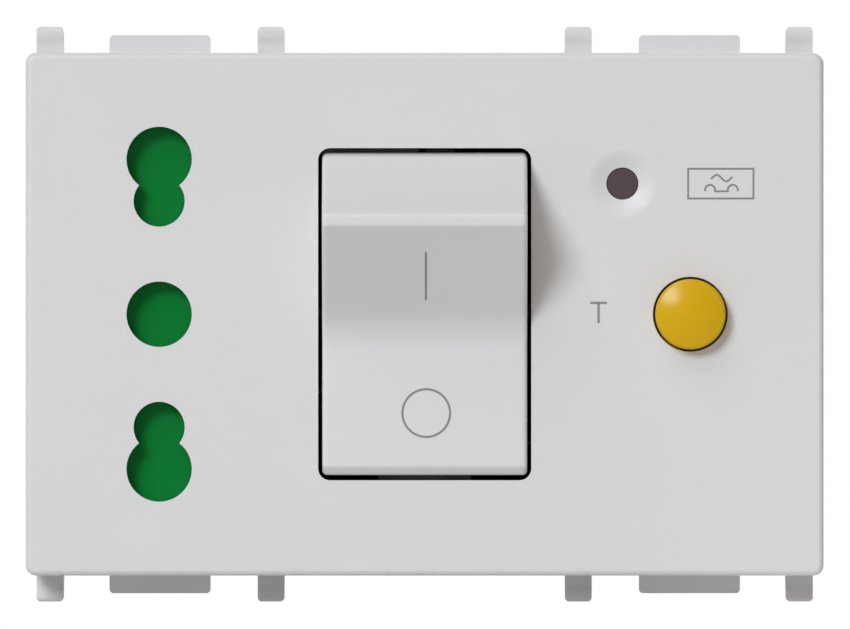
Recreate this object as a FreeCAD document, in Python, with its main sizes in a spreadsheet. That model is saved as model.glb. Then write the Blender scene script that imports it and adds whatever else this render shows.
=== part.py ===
import FreeCAD, Part
import math
import os
import re
import Sketcher
from FreeCAD import Placement, Rotation, Vector

# Three-module flush socket with a circuit breaker.
# X runs to the right, Y from the front face to the back, Z up.
# Y = 0 is the plane in which the four wide tabs rest on the mounting frame.

doc = FreeCAD.newDocument("socket_with_breaker")
sheet = doc.addObject("Spreadsheet::Sheet", "sizes")

SIZES = [
    ("plate_width", 67.0, "front plate, left to right"),
    ("plate_height", 43.9, "front plate, bottom to top"),
    ("plate_depth", 8.0, "front face to the seating plane"),
    ("plate_corner", 0.85, "radius of the plate's four corners"),
    ("plate_edge", 0.5, "radius round the front face"),
    ("front_wall", 2.0, "thickness behind the front face"),
    ("skirt_width", 66.0, "body behind the plate, left to right"),
    ("skirt_height", 42.7, "body behind the plate, bottom to top"),
    ("skirt_depth", 9.0, "seating plane to the joint of the case"),
    ("case_wall", 1.6, "side walls of cover and housing"),
    ("housing_depth", 29.0, "joint of the case to the rear face"),
    ("rear_wall", 1.8, "thickness of the rear face"),
    ("case_edge", 0.8, "rounding of the housing's outer edges"),
    ("post_size", 4.7, "side of the square screw posts in the corners"),
    ("screw_radius", 1.1, "case screw, shank"),
    ("screw_head_radius", 1.8, "case screw, head"),
    ("screw_head_depth", 1.5, "case screw, head"),
    ("screw_grip", 6.0, "length of the case screw inside the cover"),
    ("screw_inset", 2.1, "case screw axis to the case's inner walls"),
    ("lug_width", 7.0, "locating lugs of the housing"),
    ("lug_reach", 3.5, "how far a lug stands into the cover"),
    ("lug_thickness", 1.2, "locating lugs"),
    ("module_gap", 0.9, "side play of the three modules in a frame"),
    ("tab_width", 8.5, "wide rest tabs"),
    ("tab_reach", 1.55, "rest tabs, beyond the plate"),
    ("tab_thickness", 1.6, "rest tabs"),
    ("tab_corner", 0.35, "corner radius of the rest tabs and fingers"),
    ("finger_width", 2.25, "spring fingers"),
    ("finger_reach", 2.9, "tip of a spring finger, out from the body"),
    ("finger_edge", 0.245, "outermost finger to the side of the body"),
    ("finger_root", 8.2, "seating plane to the root of a finger"),
    ("finger_shoulder", 2.1, "seating plane to the latching shoulder"),
    ("finger_strip", 0.9, "thickness of a finger at its root"),
    ("finger_nose", 2.0, "flat top of a finger's nose"),
    ("finger_gap", 0.5, "body to the free front end of a finger"),
    ("finger_step", 0.8, "height of each part of the S bend in the front of a finger"),
    ("finger_sink", 0.12, "depth of that S bend"),
    ("finger_bend", 1.5, "radius of that S bend"),
    ("window_width", 17.9, "rocker window"),
    ("window_height", 27.9, "rocker window"),
    ("window_corner", 1.0, "corner radius of the rocker window"),
    ("cheek_width", 2.3, "bearing cheeks beside the window"),
    ("cheek_height", 8.0, "bearing cheeks"),
    ("cheek_depth", 4.0, "bearing cheeks, behind the front wall"),
    ("pivot_depth", 2.3, "front face to the rocker's axis"),
    ("pin_radius", 1.0, "rocker pin"),
    ("pin_clearance", 0.05, "round the steel pins"),
    ("window_side", 0.35, "gap either side of the rocker"),
    ("window_end", 0.35, "gap above and below the rocker"),
    ("rocker_swing", 44.0, "angle between off and on"),
    ("rocker_face", 2.65, "rocker's axis to the plane of a pressed face"),
    ("rocker_end", 0.28, "window to the unrounded edge of a pressed end"),
    ("rocker_wrap", 57.3, "angle of each end wall of the rocker"),
    ("rocker_flat", 45.0, "angle of the flat front part of an end wall"),
    ("rocker_skin", 1.4, "walls of the hollow rocker"),
    ("rocker_valley", 4.6, "radius between the two faces"),
    ("rocker_chamfer", 0.85, "chamfer between a face and its end wall, along the face"),
    ("rocker_wall_cut", 0.64, "the same along the end wall"),
    ("rocker_edge", 0.4, "rounding of the rocker's edges"),
    ("hub_radius", 2.3, "bosses round the pins"),
    ("crank_reach", 7.0, "rocker's axis to the link"),
    ("crank_width", 3.0, "width of the crank and of the horn"),
    ("link_radius", 0.6, "wire of the link"),
    ("link_drop", 6.5, "length of the link between its legs"),
    ("link_play", 0.15, "round the link in its two holes"),
    ("horn_reach", 10.0, "contact shaft's axis to the link"),
    ("arm_offset", 6.6, "middle of a contact arm from the middle"),
    ("arm_width", 2.0, "contact arms"),
    ("arm_height", 1.6, "contact arms"),
    ("arm_reach", 12.5, "contact arm, axis to its end"),
    ("tip_radius", 1.0, "silver contact tips"),
    ("tip_height", 0.7, "silver contact tips"),
    ("tip_gap", 0.1, "between closed tips"),
    ("chassis_gap", 0.5, "rocker to the chassis plates"),
    ("chassis_wall", 1.4, "chassis side plates"),
    ("chassis_depth", 14.8, "chassis side plates, front to back"),
    ("strip_thickness", 1.2, "brass strips"),
    ("running_gap", 0.15, "between pieces that slide"),
    ("hole_large", 2.75, "radius of the 5 mm pin holes"),
    ("hole_small", 2.15, "radius of the 4 mm pin holes"),
    ("span_large", 26.0, "between the 5 mm pins"),
    ("span_small", 19.0, "between the 4 mm pins"),
    ("shutter_width", 7.0, "shutter bar"),
    ("shutter_thickness", 2.2, "shutter bar"),
    ("shutter_end", 3.15, "end of the shutter bar to the inner wall"),
    ("shutter_gap", 0.2, "in front of and behind the shutter"),
    ("shutter_tongue", 5.0, "spring tongue, left of the bar"),
    ("tongue_height", 3.6, "spring tongue"),
    ("tongue_centre", 5.05, "middle of the tongue above the earth hole"),
    ("slot_height", 2.2, "spring slot in the tongue"),
    ("carrier_end", 1.55, "contact carrier to the inner wall"),
    ("carrier_plate", 1.8, "contact carrier, front plate"),
    ("carrier_depth", 15.0, "contact carrier, behind its plate"),
    ("carrier_half", 4.2, "contact carrier, half the block's width"),
    ("pocket_half", 3.3, "contact pockets, half their width"),
    ("leaf_half", 1.9, "between pin axis and a contact leaf"),
    ("leaf_thickness", 0.6, "contact leaves"),
    ("leaf_depth", 10.0, "contact leaves, front to back"),
    ("clip_thickness", 0.5, "steel clips round the leaves"),
    ("terminal_inset", 2.8, "outer wire terminals, nearer the middle than a module's"),
    ("terminal_height", 14.75, "middle of the terminals below the axis"),
    ("cage_half", 3.9, "terminal cage, half its width"),
    ("cage_length", 6.5, "terminal cage along the wire"),
    ("cage_wall", 0.9, "terminal cage, side walls"),
    ("cage_floor", 1.5, "terminal cage, front wall"),
    ("cage_nut", 2.0, "terminal cage, threaded rear wall"),
    ("cage_back", 32.0, "rear face of an open cage"),
    ("cage_depth", 11.1, "terminal cage, front to back"),
    ("cage_travel", 3.5, "way of the cage when the screw is driven"),
    ("bar_width", 5.0, "terminal bars"),
    ("bar_front", 27.0, "front face of the terminal bars"),
    ("bar_top", 7.6, "upper end of the terminal bars below the axis"),
    ("terminal_screw", 2.0, "radius of the terminal screws"),
    ("terminal_head", 2.5, "radius of their heads"),
    ("terminal_head_depth", 2.0, "their heads"),
    ("wire_width", 5.8, "wire entries"),
    ("rib_width", 1.0, "ribs in the housing"),
    ("button_radius", 2.95, "test button"),
    ("button_hole", 3.15, "hole of the test button"),
    ("button_rise", 2.2, "crown of the test button before the face"),
    ("button_shoulder", 1.65, "rim of the test button before the face"),
    ("button_flange", 3.9, "flange behind the front wall"),
    ("button_travel", 1.5, "way of the test button"),
    ("stem_radius", 1.4, "stem of the test button"),
    ("guide_half", 5.4, "test button guide, half its width"),
    ("guide_back", 3.2, "rear face of the test button guide"),
    ("guide_wall", 1.2, "test button guide"),
    ("lens_x", 16.6, "indicator, from the middle"),
    ("lens_z", 10.97, "indicator, above the axis"),
    ("lens_radius", 1.3, "indicator lens"),
    ("dish_radius", 2.5, "dish round the indicator"),
    ("dish_depth", 0.5, "dish round the indicator"),
    ("dish_blend", 2.0, "rounding of the dish's rim"),
    ("board_front", 6.0, "circuit board"),
    ("board_thickness", 1.2, "circuit board"),
    ("board_post", 1.2, "radius of the posts that hold the circuit board"),
    ("trip_y", 10.4, "axis of the trip bar"),
    ("trip_z", 8.0, "axis of the trip bar"),
    ("coil_x", 4.6, "magnetic trip, left of the middle"),
    ("coil_z", 11.3, "magnetic trip, above the axis"),
    ("coil_radius", 3.5, "magnetic trip winding, to the wire's middle"),
    ("coil_wire", 0.65, "radius of the winding's wire"),
    ("coil_turns", 7.0, "turns of the winding"),
    ("coil_length", 11.0, "length of the winding"),
    ("yoke_front", 14.0, "front face of the magnetic yoke"),
    ("core_x", 15.5, "middle of the transformer"),
    ("core_y", 27.0, "axis of the transformer"),
    ("core_z", 8.6, "axis of the transformer"),
    ("core_radius", 6.0, "transformer core, outside"),
    ("core_hole", 3.4, "transformer core, hole"),
    ("core_width", 6.0, "transformer core, along its axis"),
    ("winding_height", 0.5, "winding over the core"),
    ("lead_radius", 0.8, "insulated leads"),
    ("braid_radius", 0.6, "copper braids to the moving contacts"),
    ("spring_wire", 0.2, "radius of the wire of the release springs"),
    ("fine_wire", 0.15, "radius of the wire of the smallest springs"),
    ("button_wire", 0.25, "radius of the wire of the button's spring"),
    ("seat_gap", 0.05, "between pieces that lie against each other"),
]

for row, (alias, number, meaning) in enumerate(SIZES, start=1):
    sheet.set(f"A{row}", meaning)
    sheet.set(f"B{row}", str(number))
    sheet.setAlias(f"B{row}", alias)
doc.recompute()


def rule(text):
    """Expression on the sheet, written with the bare names of its sizes."""
    text = re.sub(r"[a-z]\w+", lambda word: "sizes." + word[0], str(text))
    return re.sub(r"sizes\.(sin|cos|tan|asin|sqrt)\(", r"\1(", text)


# Planes and axes of the case that several pieces share
FACE = "-plate_depth"
BEHIND = "(front_wall - plate_depth)"
REAR = "(skirt_depth + housing_depth)"
FLOOR = f"({REAR} - rear_wall)"
INSIDE_X = "(skirt_width / 2 - case_wall)"
INSIDE_Z = "(skirt_height / 2 - case_wall)"
POST_X = f"({INSIDE_X} - post_size)"
POST_Z = f"({INSIDE_Z} - post_size)"
SCREW_X = f"({INSIDE_X} - screw_inset)"
SCREW_Z = f"({INSIDE_Z} - screw_inset)"
PIVOT = "(pivot_depth - plate_depth)"
CORNERS = [(-1, -1), (1, -1), (-1, 1), (1, 1)]

# Sizes that follow from the body and the rocker window: the middle of an outer module,
# the outer wire terminals, the rocker, the shutter and the contact carrier
MODULE = "((skirt_width + module_gap) / 3)"
TERMINAL = f"({MODULE} - terminal_inset)"
ROCKER_WIDTH = "(window_width - 2 * window_side)"
ROCKER_RADIUS = "(window_height / 2 - window_end)"
SHUTTER_HALF = f"({INSIDE_Z} - shutter_end)"
CARRIER_REACH = f"({INSIDE_Z} - carrier_end)"
module = (sheet.skirt_width + sheet.module_gap) / 3
terminal = module - sheet.terminal_inset
rocker_width = sheet.window_width - 2 * sheet.window_side


def block(name, x, y, z):
    """Box between three pairs of planes, each a rule on the sheet."""
    piece = doc.addObject("Part::Box", name)
    for side, (low, high) in zip(("Length", "Width", "Height"), (x, y, z)):
        piece.setExpression(side, rule(f"({high}) - ({low})"))
    for axis, (low, high) in zip("xyz", (x, y, z)):
        piece.setExpression(f"Placement.Base.{axis}", rule(low))
    return piece


AXIS_TURN = {
    "x": Rotation(Vector(0, 1, 0), 90),
    "y": Rotation(Vector(1, 0, 0), -90),
    "z": Rotation(),
}


def rod(name, axis, radius, centre, span):
    """Cylinder along an axis; centre holds its two other coordinates in xyz order."""
    piece = doc.addObject("Part::Cylinder", name)
    piece.Placement = Placement(Vector(), AXIS_TURN[axis])
    piece.setExpression("Radius", rule(radius))
    piece.setExpression("Height", rule(f"({span[1]}) - ({span[0]})"))
    others = [other for other in "xyz" if other != axis]
    for other, place in zip(others, centre):
        piece.setExpression(f"Placement.Base.{other}", rule(place))
    piece.setExpression(f"Placement.Base.{axis}", rule(span[0]))
    return piece


def join(name, *pieces):
    whole = doc.addObject("Part::MultiFuse", name)
    whole.Shapes = list(pieces)
    whole.Refine = True
    return whole


def cut(name, base, *tools):
    tool = tools[0] if len(tools) == 1 else join(name + "_tools", *tools)
    whole = doc.addObject("Part::Cut", name)
    whole.Base = base
    whole.Tool = tool
    whole.Refine = True
    return whole


def group(name, *pieces):
    """Separate solids that share one node."""
    whole = doc.addObject("Part::Compound", name)
    whole.Links = list(pieces)
    return whole


def rounded(name, base, radius, wanted, far=None, kind="Part::Fillet"):
    """Rounds the edges of a piece that a test picks out, or chamfers them to two depths."""
    doc.recompute([base], True)
    chosen = [n for n, edge in enumerate(base.Shape.Edges, start=1) if wanted(edge)]
    whole = doc.addObject(kind, name)
    whole.Base = base
    whole.Edges = [(n, radius, far or radius) for n in chosen]
    return whole


def shaped(name, shape):
    piece = doc.addObject("Part::Feature", name)
    piece.Shape = shape
    return piece


def turned(piece, degrees, pivot_y, pivot_z):
    """Turns a finished piece about an axis along X."""
    centre = Vector(0, pivot_y, pivot_z)
    piece.Placement = Placement(Vector(), Rotation(Vector(1, 0, 0), degrees), centre)
    return piece


# Sketches of the moulded bodies


class Moulding:
    """A PartDesign body that grows by pads and pockets square to the axes."""

    # Sketch directions: the plane's normal, and the sign of that normal
    PLANES = {"y": ("XZ_Plane", -1), "z": ("XY_Plane", 1), "x": ("YZ_Plane", 1)}

    def __init__(self, name):
        self.body = doc.addObject("PartDesign::Body", name)
        self.count = 0

    def sketch(self, axis, offset):
        role, sign = self.PLANES[axis]
        self.count += 1
        drawing = self.body.newObject(
            "Sketcher::SketchObject", f"{self.body.Name}_sketch_{self.count}"
        )
        plane = [p for p in self.body.Origin.OriginFeatures if p.Role == role][0]
        drawing.AttachmentSupport = (plane, [""])
        drawing.MapMode = "FlatFace"
        drawing.setExpression("AttachmentOffset.Base.z", rule(f"{sign} * ({offset})"))
        return drawing

    def add(self, axis, span, *outlines):
        """Pad from the low to the high end of a span."""
        drawing = self.sketch(axis, span[0])
        for outline in outlines:
            outline(drawing)
        pad = self.body.newObject("PartDesign::Pad", f"{self.body.Name}_pad_{self.count}")
        pad.Profile = drawing
        pad.Reversed = self.PLANES[axis][1] < 0
        pad.setExpression("Length", rule(f"({span[1]}) - ({span[0]})"))
        return pad

    def take(self, axis, span, *outlines):
        """Pocket from the low to the high end of a span."""
        drawing = self.sketch(axis, span[0])
        for outline in outlines:
            outline(drawing)
        pocket = self.body.newObject(
            "PartDesign::Pocket", f"{self.body.Name}_pocket_{self.count}"
        )
        pocket.Profile = drawing
        pocket.Reversed = self.PLANES[axis][1] > 0
        pocket.setExpression("Length", rule(f"({span[1]}) - ({span[0]})"))
        return pocket

    def round(self, radius, wanted):
        """Fillet of the edges of the body so far that a test picks out."""
        doc.recompute([self.body], True)
        base = self.body.Tip
        names = [f"Edge{n}" for n, edge in enumerate(base.Shape.Edges, 1) if wanted(edge)]
        self.count += 1
        fillet = self.body.newObject(
            "PartDesign::Fillet", f"{self.body.Name}_fillet_{self.count}"
        )
        fillet.Base = (base, names)
        fillet.setExpression("Radius", rule(radius))
        return fillet


def pin_down(drawing, kind, geometry, point, text):
    """Signed distance of a sketch point from the origin, bound to the sheet."""
    index = drawing.addConstraint(
        Sketcher.Constraint(kind, -1, 1, geometry, point, 1.0)
    )
    drawing.setExpression(f"Constraints[{index}]", rule(text))


def rectangle(low_u, high_u, low_v, high_v):
    """Outline between two pairs of lines, in the sketch's own two directions."""

    def draw(drawing):
        first = drawing.GeometryCount
        corners = [Vector(0, 0), Vector(1, 0), Vector(1, 1), Vector(0, 1)]
        for n in range(4):
            drawing.addGeometry(Part.LineSegment(corners[n], corners[(n + 1) % 4]))
        for n in range(4):
            drawing.addConstraint(
                Sketcher.Constraint("Coincident", first + n, 2, first + (n + 1) % 4, 1)
            )
            direction = "Vertical" if n % 2 else "Horizontal"
            drawing.addConstraint(Sketcher.Constraint(direction, first + n))
        pin_down(drawing, "DistanceX", first, 1, low_u)
        pin_down(drawing, "DistanceY", first, 1, low_v)
        pin_down(drawing, "DistanceX", first + 2, 1, high_u)
        pin_down(drawing, "DistanceY", first + 2, 1, high_v)

    return draw


def disc(centre_u, centre_v, radius):
    def draw(drawing):
        number = drawing.addGeometry(Part.Circle(Vector(), Vector(0, 0, 1), 1.0))
        pin_down(drawing, "DistanceX", number, 3, centre_u)
        pin_down(drawing, "DistanceY", number, 3, centre_v)
        index = drawing.addConstraint(Sketcher.Constraint("Radius", number, 1.0))
        drawing.setExpression(f"Constraints[{index}]", rule(radius))

    return draw


def along(edge, axis):
    """True for a straight edge parallel to an axis."""
    if edge.Curve.TypeId != "Part::GeomLine":
        return False
    return abs(getattr(edge.tangentAt(edge.FirstParameter), axis)) > 0.999


def at(value, target):
    return abs(value - target) < 1e-4


# Strips, wires and springs


def bent_strip(points, thickness, axis, low, high):
    """Flat strip bent along a line of points and extruded along an axis."""
    half = thickness / 2
    normals = []
    for (u0, v0), (u1, v1) in zip(points, points[1:]):
        length = math.hypot(u1 - u0, v1 - v0)
        normals.append(((v0 - v1) / length, (u1 - u0) / length))
    sides = [[], []]
    for n, (u, v) in enumerate(points):
        before = normals[max(n - 1, 0)]
        after = normals[min(n, len(normals) - 1)]
        mitre = 1 + before[0] * after[0] + before[1] * after[1]
        step_u = half * (before[0] + after[0]) / mitre
        step_v = half * (before[1] + after[1]) / mitre
        sides[0].append((u + step_u, v + step_v))
        sides[1].append((u - step_u, v - step_v))
    outline = sides[0] + sides[1][::-1]
    place = {
        "x": lambda u, v: Vector(low, u, v),
        "y": lambda u, v: Vector(u, low, v),
        "z": lambda u, v: Vector(u, v, low),
    }[axis]
    corners = [place(u, v) for u, v in outline]
    face = Part.Face(Part.makePolygon(corners + corners[:1]))
    way = {"x": Vector(1, 0, 0), "y": Vector(0, 1, 0), "z": Vector(0, 0, 1)}[axis]
    return face.extrude(way * (high - low))


def swept(wire, radius):
    """Round tube along a wire of tangent lines and arcs."""
    start = wire.OrderedEdges[0]
    heading = start.tangentAt(start.FirstParameter)
    ring = Part.Wire(Part.makeCircle(radius, wire.OrderedVertexes[0].Point, heading))
    return wire.makePipeShell([ring], True, False)


def lead(points, radius, bend):
    """Round wire through a line of points, with one bend radius at its corners."""
    places = [Vector(*point) for point in points]
    edges = []
    start = places[0]
    for before, corner, after in zip(places, places[1:], places[2:]):
        back = (before - corner).normalize()
        ahead = (after - corner).normalize()
        half = back.getAngle(ahead) / 2
        reach = bend / math.tan(half)
        first = corner + back * reach
        last = corner + ahead * reach
        middle_way = (back + ahead).normalize()
        middle = corner + middle_way * (bend / math.sin(half) - bend)
        edges.append(Part.LineSegment(start, first).toShape())
        edges.append(Part.Arc(first, middle, last).toShape())
        start = last
    edges.append(Part.LineSegment(start, places[-1]).toShape())
    return swept(Part.Wire(edges), radius)


def biarc(start, start_way, end, end_way):
    """Two arcs that meet smoothly between two points with given directions."""
    chord = end - start
    ways = start_way + end_way
    a = ways.dot(ways) - 4
    b = -2 * chord.dot(ways)
    c = chord.dot(chord)
    reach = (-b - math.sqrt(b * b - 4 * a * c)) / (2 * a)
    knee_a = start + start_way * reach
    knee_b = end - end_way * reach
    joint = (knee_a + knee_b) * 0.5
    arcs = []
    for first, knee, last in ((start, knee_a, joint), (joint, knee_b, end)):
        middle = (first + last) * 0.5
        half = (last - first).Length / 2
        cosine = half / (knee - first).Length
        rise = half * (1 - cosine) / math.sqrt(1 - cosine * cosine)
        outward = (knee - middle).normalize()
        arcs.append(Part.Arc(first, middle + outward * rise, last).toShape())
    return arcs


def coil(axis, centre, low, high, radius, wire, turns):
    """Coil of round wire; centre holds the two other coordinates in xyz order."""
    length = high - low - 2 * wire
    place = {
        "x": lambda u, v, w: Vector(w, u, v),
        "y": lambda u, v, w: Vector(u, w, v),
        "z": lambda u, v, w: Vector(u, v, w),
    }[axis]
    rise = length / (turns * 2 * math.pi * radius)
    points = []
    ways = []
    for n in range(int(round(turns * 4)) + 1):
        angle = n * math.pi / 2
        along_axis = low + wire + length * n / (turns * 4)
        points.append(
            place(
                centre[0] + radius * math.cos(angle),
                centre[1] + radius * math.sin(angle),
                along_axis,
            )
        )
        ways.append(place(-math.sin(angle), math.cos(angle), rise).normalize())
    edges = []
    for n in range(len(points) - 1):
        edges += biarc(points[n], ways[n], points[n + 1], ways[n + 1])
    return swept(Part.Wire(edges), wire)


pieces = []


def finish(piece, label):
    """Names a sub-part, which also names its file."""
    piece.Label = label
    pieces.append(piece)


v = sheet

# Front cover: moulded plate with a skirt, snap fingers and rest tabs

cover = Moulding("cover_body")
cover.add(
    "y",
    (FACE, "0"),
    rectangle("-plate_width / 2", "plate_width / 2", "-plate_height / 2", "plate_height / 2"),
)
cover.round("plate_corner", lambda edge: along(edge, "y"))
cover.round(
    "plate_edge", lambda edge: at(edge.BoundBox.YMin, -v.plate_depth) and at(edge.BoundBox.YLength, 0)
)
cover.add(
    "y",
    ("0", "skirt_depth"),
    rectangle("-skirt_width / 2", "skirt_width / 2", "-skirt_height / 2", "skirt_height / 2"),
)
cover.take(
    "y",
    (BEHIND, "skirt_depth"),
    rectangle(f"-{INSIDE_X}", INSIDE_X, f"-{INSIDE_Z}", INSIDE_Z),
)


def corner_blocks(moulding, span):
    """Square posts for the case screws, grown out of the corners of the case."""
    outlines = []
    for side, level in CORNERS:
        near_x, far_x = f"{side} * {POST_X}", f"{side} * ({INSIDE_X} + case_wall / 2)"
        near_z, far_z = f"{level} * {POST_Z}", f"{level} * ({INSIDE_Z} + case_wall / 2)"
        if side < 0:
            near_x, far_x = far_x, near_x
        if level < 0:
            near_z, far_z = far_z, near_z
        outlines.append(rectangle(near_x, far_x, near_z, far_z))
    moulding.add("y", span, *outlines)


def corner_holes(moulding, span, radius):
    holes = [disc(f"{side} * {SCREW_X}", f"{level} * {SCREW_Z}", radius) for side, level in CORNERS]
    moulding.take("y", span, *holes)


corner_blocks(cover, (BEHIND, "skirt_depth"))
corner_holes(cover, ("skirt_depth - screw_grip", "skirt_depth"), "screw_radius + seat_gap")

# Bearing cheeks either side of the rocker window, open to the back
CHEEK_OUT = "(window_width / 2 + cheek_width)"
cover.add(
    "y",
    (BEHIND, f"{BEHIND} + cheek_depth"),
    rectangle(f"-{CHEEK_OUT}", "-window_width / 2", "-cheek_height / 2", "cheek_height / 2"),
    rectangle("window_width / 2", CHEEK_OUT, "-cheek_height / 2", "cheek_height / 2"),
)
BEARING = "(pin_radius + pin_clearance)"
cover.take("x", (f"-{CHEEK_OUT}", CHEEK_OUT), disc(PIVOT, "0", BEARING))
cover.take(
    "x",
    (f"-{CHEEK_OUT}", CHEEK_OUT),
    rectangle(PIVOT, f"{BEHIND} + cheek_depth", f"-{BEARING}", BEARING),
)
cover.take(
    "y",
    (FACE, BEHIND),
    rectangle("-window_width / 2", "window_width / 2", "-window_height / 2", "window_height / 2"),
)
cover.round(
    "window_corner",
    lambda edge: along(edge, "y")
    and at(abs(edge.CenterOfMass.x), v.window_width / 2)
    and at(abs(edge.CenterOfMass.z), v.window_height / 2),
)

# Rails that space the contact carrier behind the shutter
SOCKET_X = f"-{MODULE}"
CARRIER_LEFT = f"(chassis_gap - {POST_X})"
CARRIER_RIGHT = f"(-{CHEEK_OUT} - 2 * running_gap)"
SHUTTER_BACK = f"({BEHIND} + shutter_gap + shutter_thickness)"
CARRIER_FRONT = f"({SHUTTER_BACK} + shutter_gap)"
RAIL = f"({SHUTTER_HALF} + 2 * shutter_gap)"
cover.add(
    "y",
    (BEHIND, CARRIER_FRONT),
    rectangle(CARRIER_LEFT, CARRIER_RIGHT, RAIL, CARRIER_REACH),
    rectangle(CARRIER_LEFT, CARRIER_RIGHT, f"-{CARRIER_REACH}", f"-{RAIL}"),
)

# Posts that hold the circuit board
cover.add(
    "y",
    (BEHIND, "board_front"),
    disc(f"{MODULE} + pin_radius", "lens_z + 3 * rib_width", "board_post"),
    disc(f"{MODULE} + pin_radius", "-2 * button_hole", "board_post"),
    disc("lens_x - 2.5 * pin_radius", "-2 * button_hole", "board_post"),
)

# Pin holes: three for 5 mm pins, and two smaller ones that merge with the outer pair
cover.take(
    "y",
    (FACE, BEHIND),
    disc(SOCKET_X, "span_large / 2", "hole_large"),
    disc(SOCKET_X, "0", "hole_large"),
    disc(SOCKET_X, "-span_large / 2", "hole_large"),
)
cover.take(
    "y",
    (FACE, BEHIND),
    disc(SOCKET_X, "span_small / 2", "hole_small"),
    disc(SOCKET_X, "-span_small / 2", "hole_small"),
)
cover.take("y", (FACE, BEHIND), disc(MODULE, "0", "button_hole"))
cover.take("y", (FACE, BEHIND), disc("lens_x", "lens_z", "lens_radius + pin_clearance"))

dish = cover.body.newObject("PartDesign::SubtractiveSphere", "cover_dish")
DISH_SPHERE = "((dish_radius ^ 2 + dish_depth ^ 2) / (2 * dish_depth))"
dish.setExpression("Radius", rule(DISH_SPHERE))
dish.AttachmentSupport = (
    [p for p in cover.body.Origin.OriginFeatures if p.Role == "XY_Plane"][0],
    [""],
)
dish.MapMode = "FlatFace"
dish.setExpression("AttachmentOffset.Base.x", rule("lens_x"))
dish.setExpression("AttachmentOffset.Base.y", rule(f"{FACE} + dish_depth - {DISH_SPHERE}"))
dish.setExpression("AttachmentOffset.Base.z", rule("lens_z"))
cover.round(
    "dish_blend",
    lambda edge: at(edge.BoundBox.YMin, -v.plate_depth)
    and at(edge.BoundBox.YLength, 0)
    and at(edge.BoundBox.XLength, 2 * v.dish_radius)
    and at(edge.CenterOfMass.x, v.lens_x),
)

# Wide tabs that rest on the mounting frame
TAB_LEVELS = ("case_wall / -2 + skirt_height / 2", "plate_height / 2 + tab_reach")
for level in (-1, 1):
    low, high = TAB_LEVELS if level > 0 else [f"-({z})" for z in TAB_LEVELS[::-1]]
    cover.add(
        "y",
        ("-tab_thickness", "0"),
        *[
            rectangle(
                f"{side} * {MODULE} - tab_width / 2",
                f"{side} * {MODULE} + tab_width / 2",
                low,
                high,
            )
            for side in (-1, 1)
        ],
    )
cover.round(
    "tab_corner",
    lambda edge: along(edge, "y")
    and at(abs(edge.CenterOfMass.z), v.plate_height / 2 + v.tab_reach),
)


def finger_outline(level):
    """S-shaped latch finger in the plane across the wall, seen from the side."""
    surface = v.skirt_height / 2
    tip = surface + v.finger_reach
    root, shoulder = v.finger_root, v.finger_shoulder
    points = [
        (root, surface - v.case_wall / 2),
        (root, surface + v.finger_strip),
        (shoulder + v.finger_nose + v.finger_strip, tip),
        (shoulder, tip),
        (shoulder, tip - v.finger_step),
        (shoulder + v.finger_sink, tip - 1.8 * v.finger_step),
        (shoulder + v.finger_sink, surface + v.finger_gap),
        (root - v.finger_nose, surface),
        (root - v.finger_nose, surface - v.case_wall / 2),
    ]
    return [(y, level * z) for y, z in points]


def finger(side, place, level):
    spread = v.skirt_width / 2 - module - v.finger_width / 2 - v.finger_edge
    middle = side * module + place * spread
    corners = [Vector(middle - v.finger_width / 2, y, z) for y, z in finger_outline(level)]
    face = Part.Face(Part.makePolygon(corners + corners[:1]))
    solid = face.extrude(Vector(v.finger_width, 0, 0))
    tip = v.skirt_height / 2 + v.finger_reach
    bends = [
        edge
        for edge in solid.Edges
        if along(edge, "x")
        and edge.CenterOfMass.y < v.finger_shoulder + v.finger_step
        and tip - 2 * v.finger_step < abs(edge.CenterOfMass.z) < tip - v.finger_step / 2
    ]
    solid = solid.makeFillet(v.finger_bend, bends)
    nose = [
        edge
        for edge in solid.Edges
        if at(abs(edge.CenterOfMass.z), tip)
        and (along(edge, "y") or edge.CenterOfMass.y < v.finger_shoulder + v.finger_step / 2)
    ]
    return solid.makeFillet(v.tab_corner, nose)


fingers = [
    finger(side, place, level) for side in (-1, 1) for place in (-1, 1) for level in (-1, 1)
]
snap_fingers = group(
    "snap_fingers", *[shaped(f"snap_finger_{n}", solid) for n, solid in enumerate(fingers)]
)
finish(join("cover_with_fingers", cover.body, snap_fingers), "front_cover")

# Rear housing: moulded tub with screw posts, terminal guides and wire entries

housing = Moulding("housing_body")
housing.add(
    "y",
    ("skirt_depth", REAR),
    rectangle("-skirt_width / 2", "skirt_width / 2", "-skirt_height / 2", "skirt_height / 2"),
)
housing.round(
    "case_edge",
    lambda edge: along(edge, "y") or at(edge.BoundBox.YMin, v.skirt_depth + v.housing_depth),
)
housing.take(
    "y",
    ("skirt_depth", FLOOR),
    rectangle(f"-{INSIDE_X}", INSIDE_X, f"-{INSIDE_Z}", INSIDE_Z),
)
corner_blocks(housing, ("skirt_depth", f"{FLOOR} + rear_wall / 2"))
corner_holes(housing, ("skirt_depth", REAR), "screw_radius + running_gap")
corner_holes(
    housing,
    (f"{REAR} - screw_head_depth - running_gap", REAR),
    "screw_head_radius + running_gap",
)

LUG_TOP = f"({INSIDE_Z} - running_gap)"
LUG_PLACES = (f"-{MODULE} - lug_width / 2", "-lug_width - chassis_gap")
for level in (-1, 1):
    for start in LUG_PLACES:
        for span, top in (
            (("skirt_depth - lug_reach", "skirt_depth + lug_reach"), LUG_TOP),
            (("skirt_depth", "skirt_depth + lug_reach"), f"({INSIDE_Z} + case_wall / 2)"),
        ):
            edges = [f"{LUG_TOP} - lug_thickness", top]
            if level < 0:
                edges = [f"-({edges[1]})", f"-({edges[0]})"]
            housing.add("y", span, rectangle(start, f"{start} + lug_width", *edges))

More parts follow.
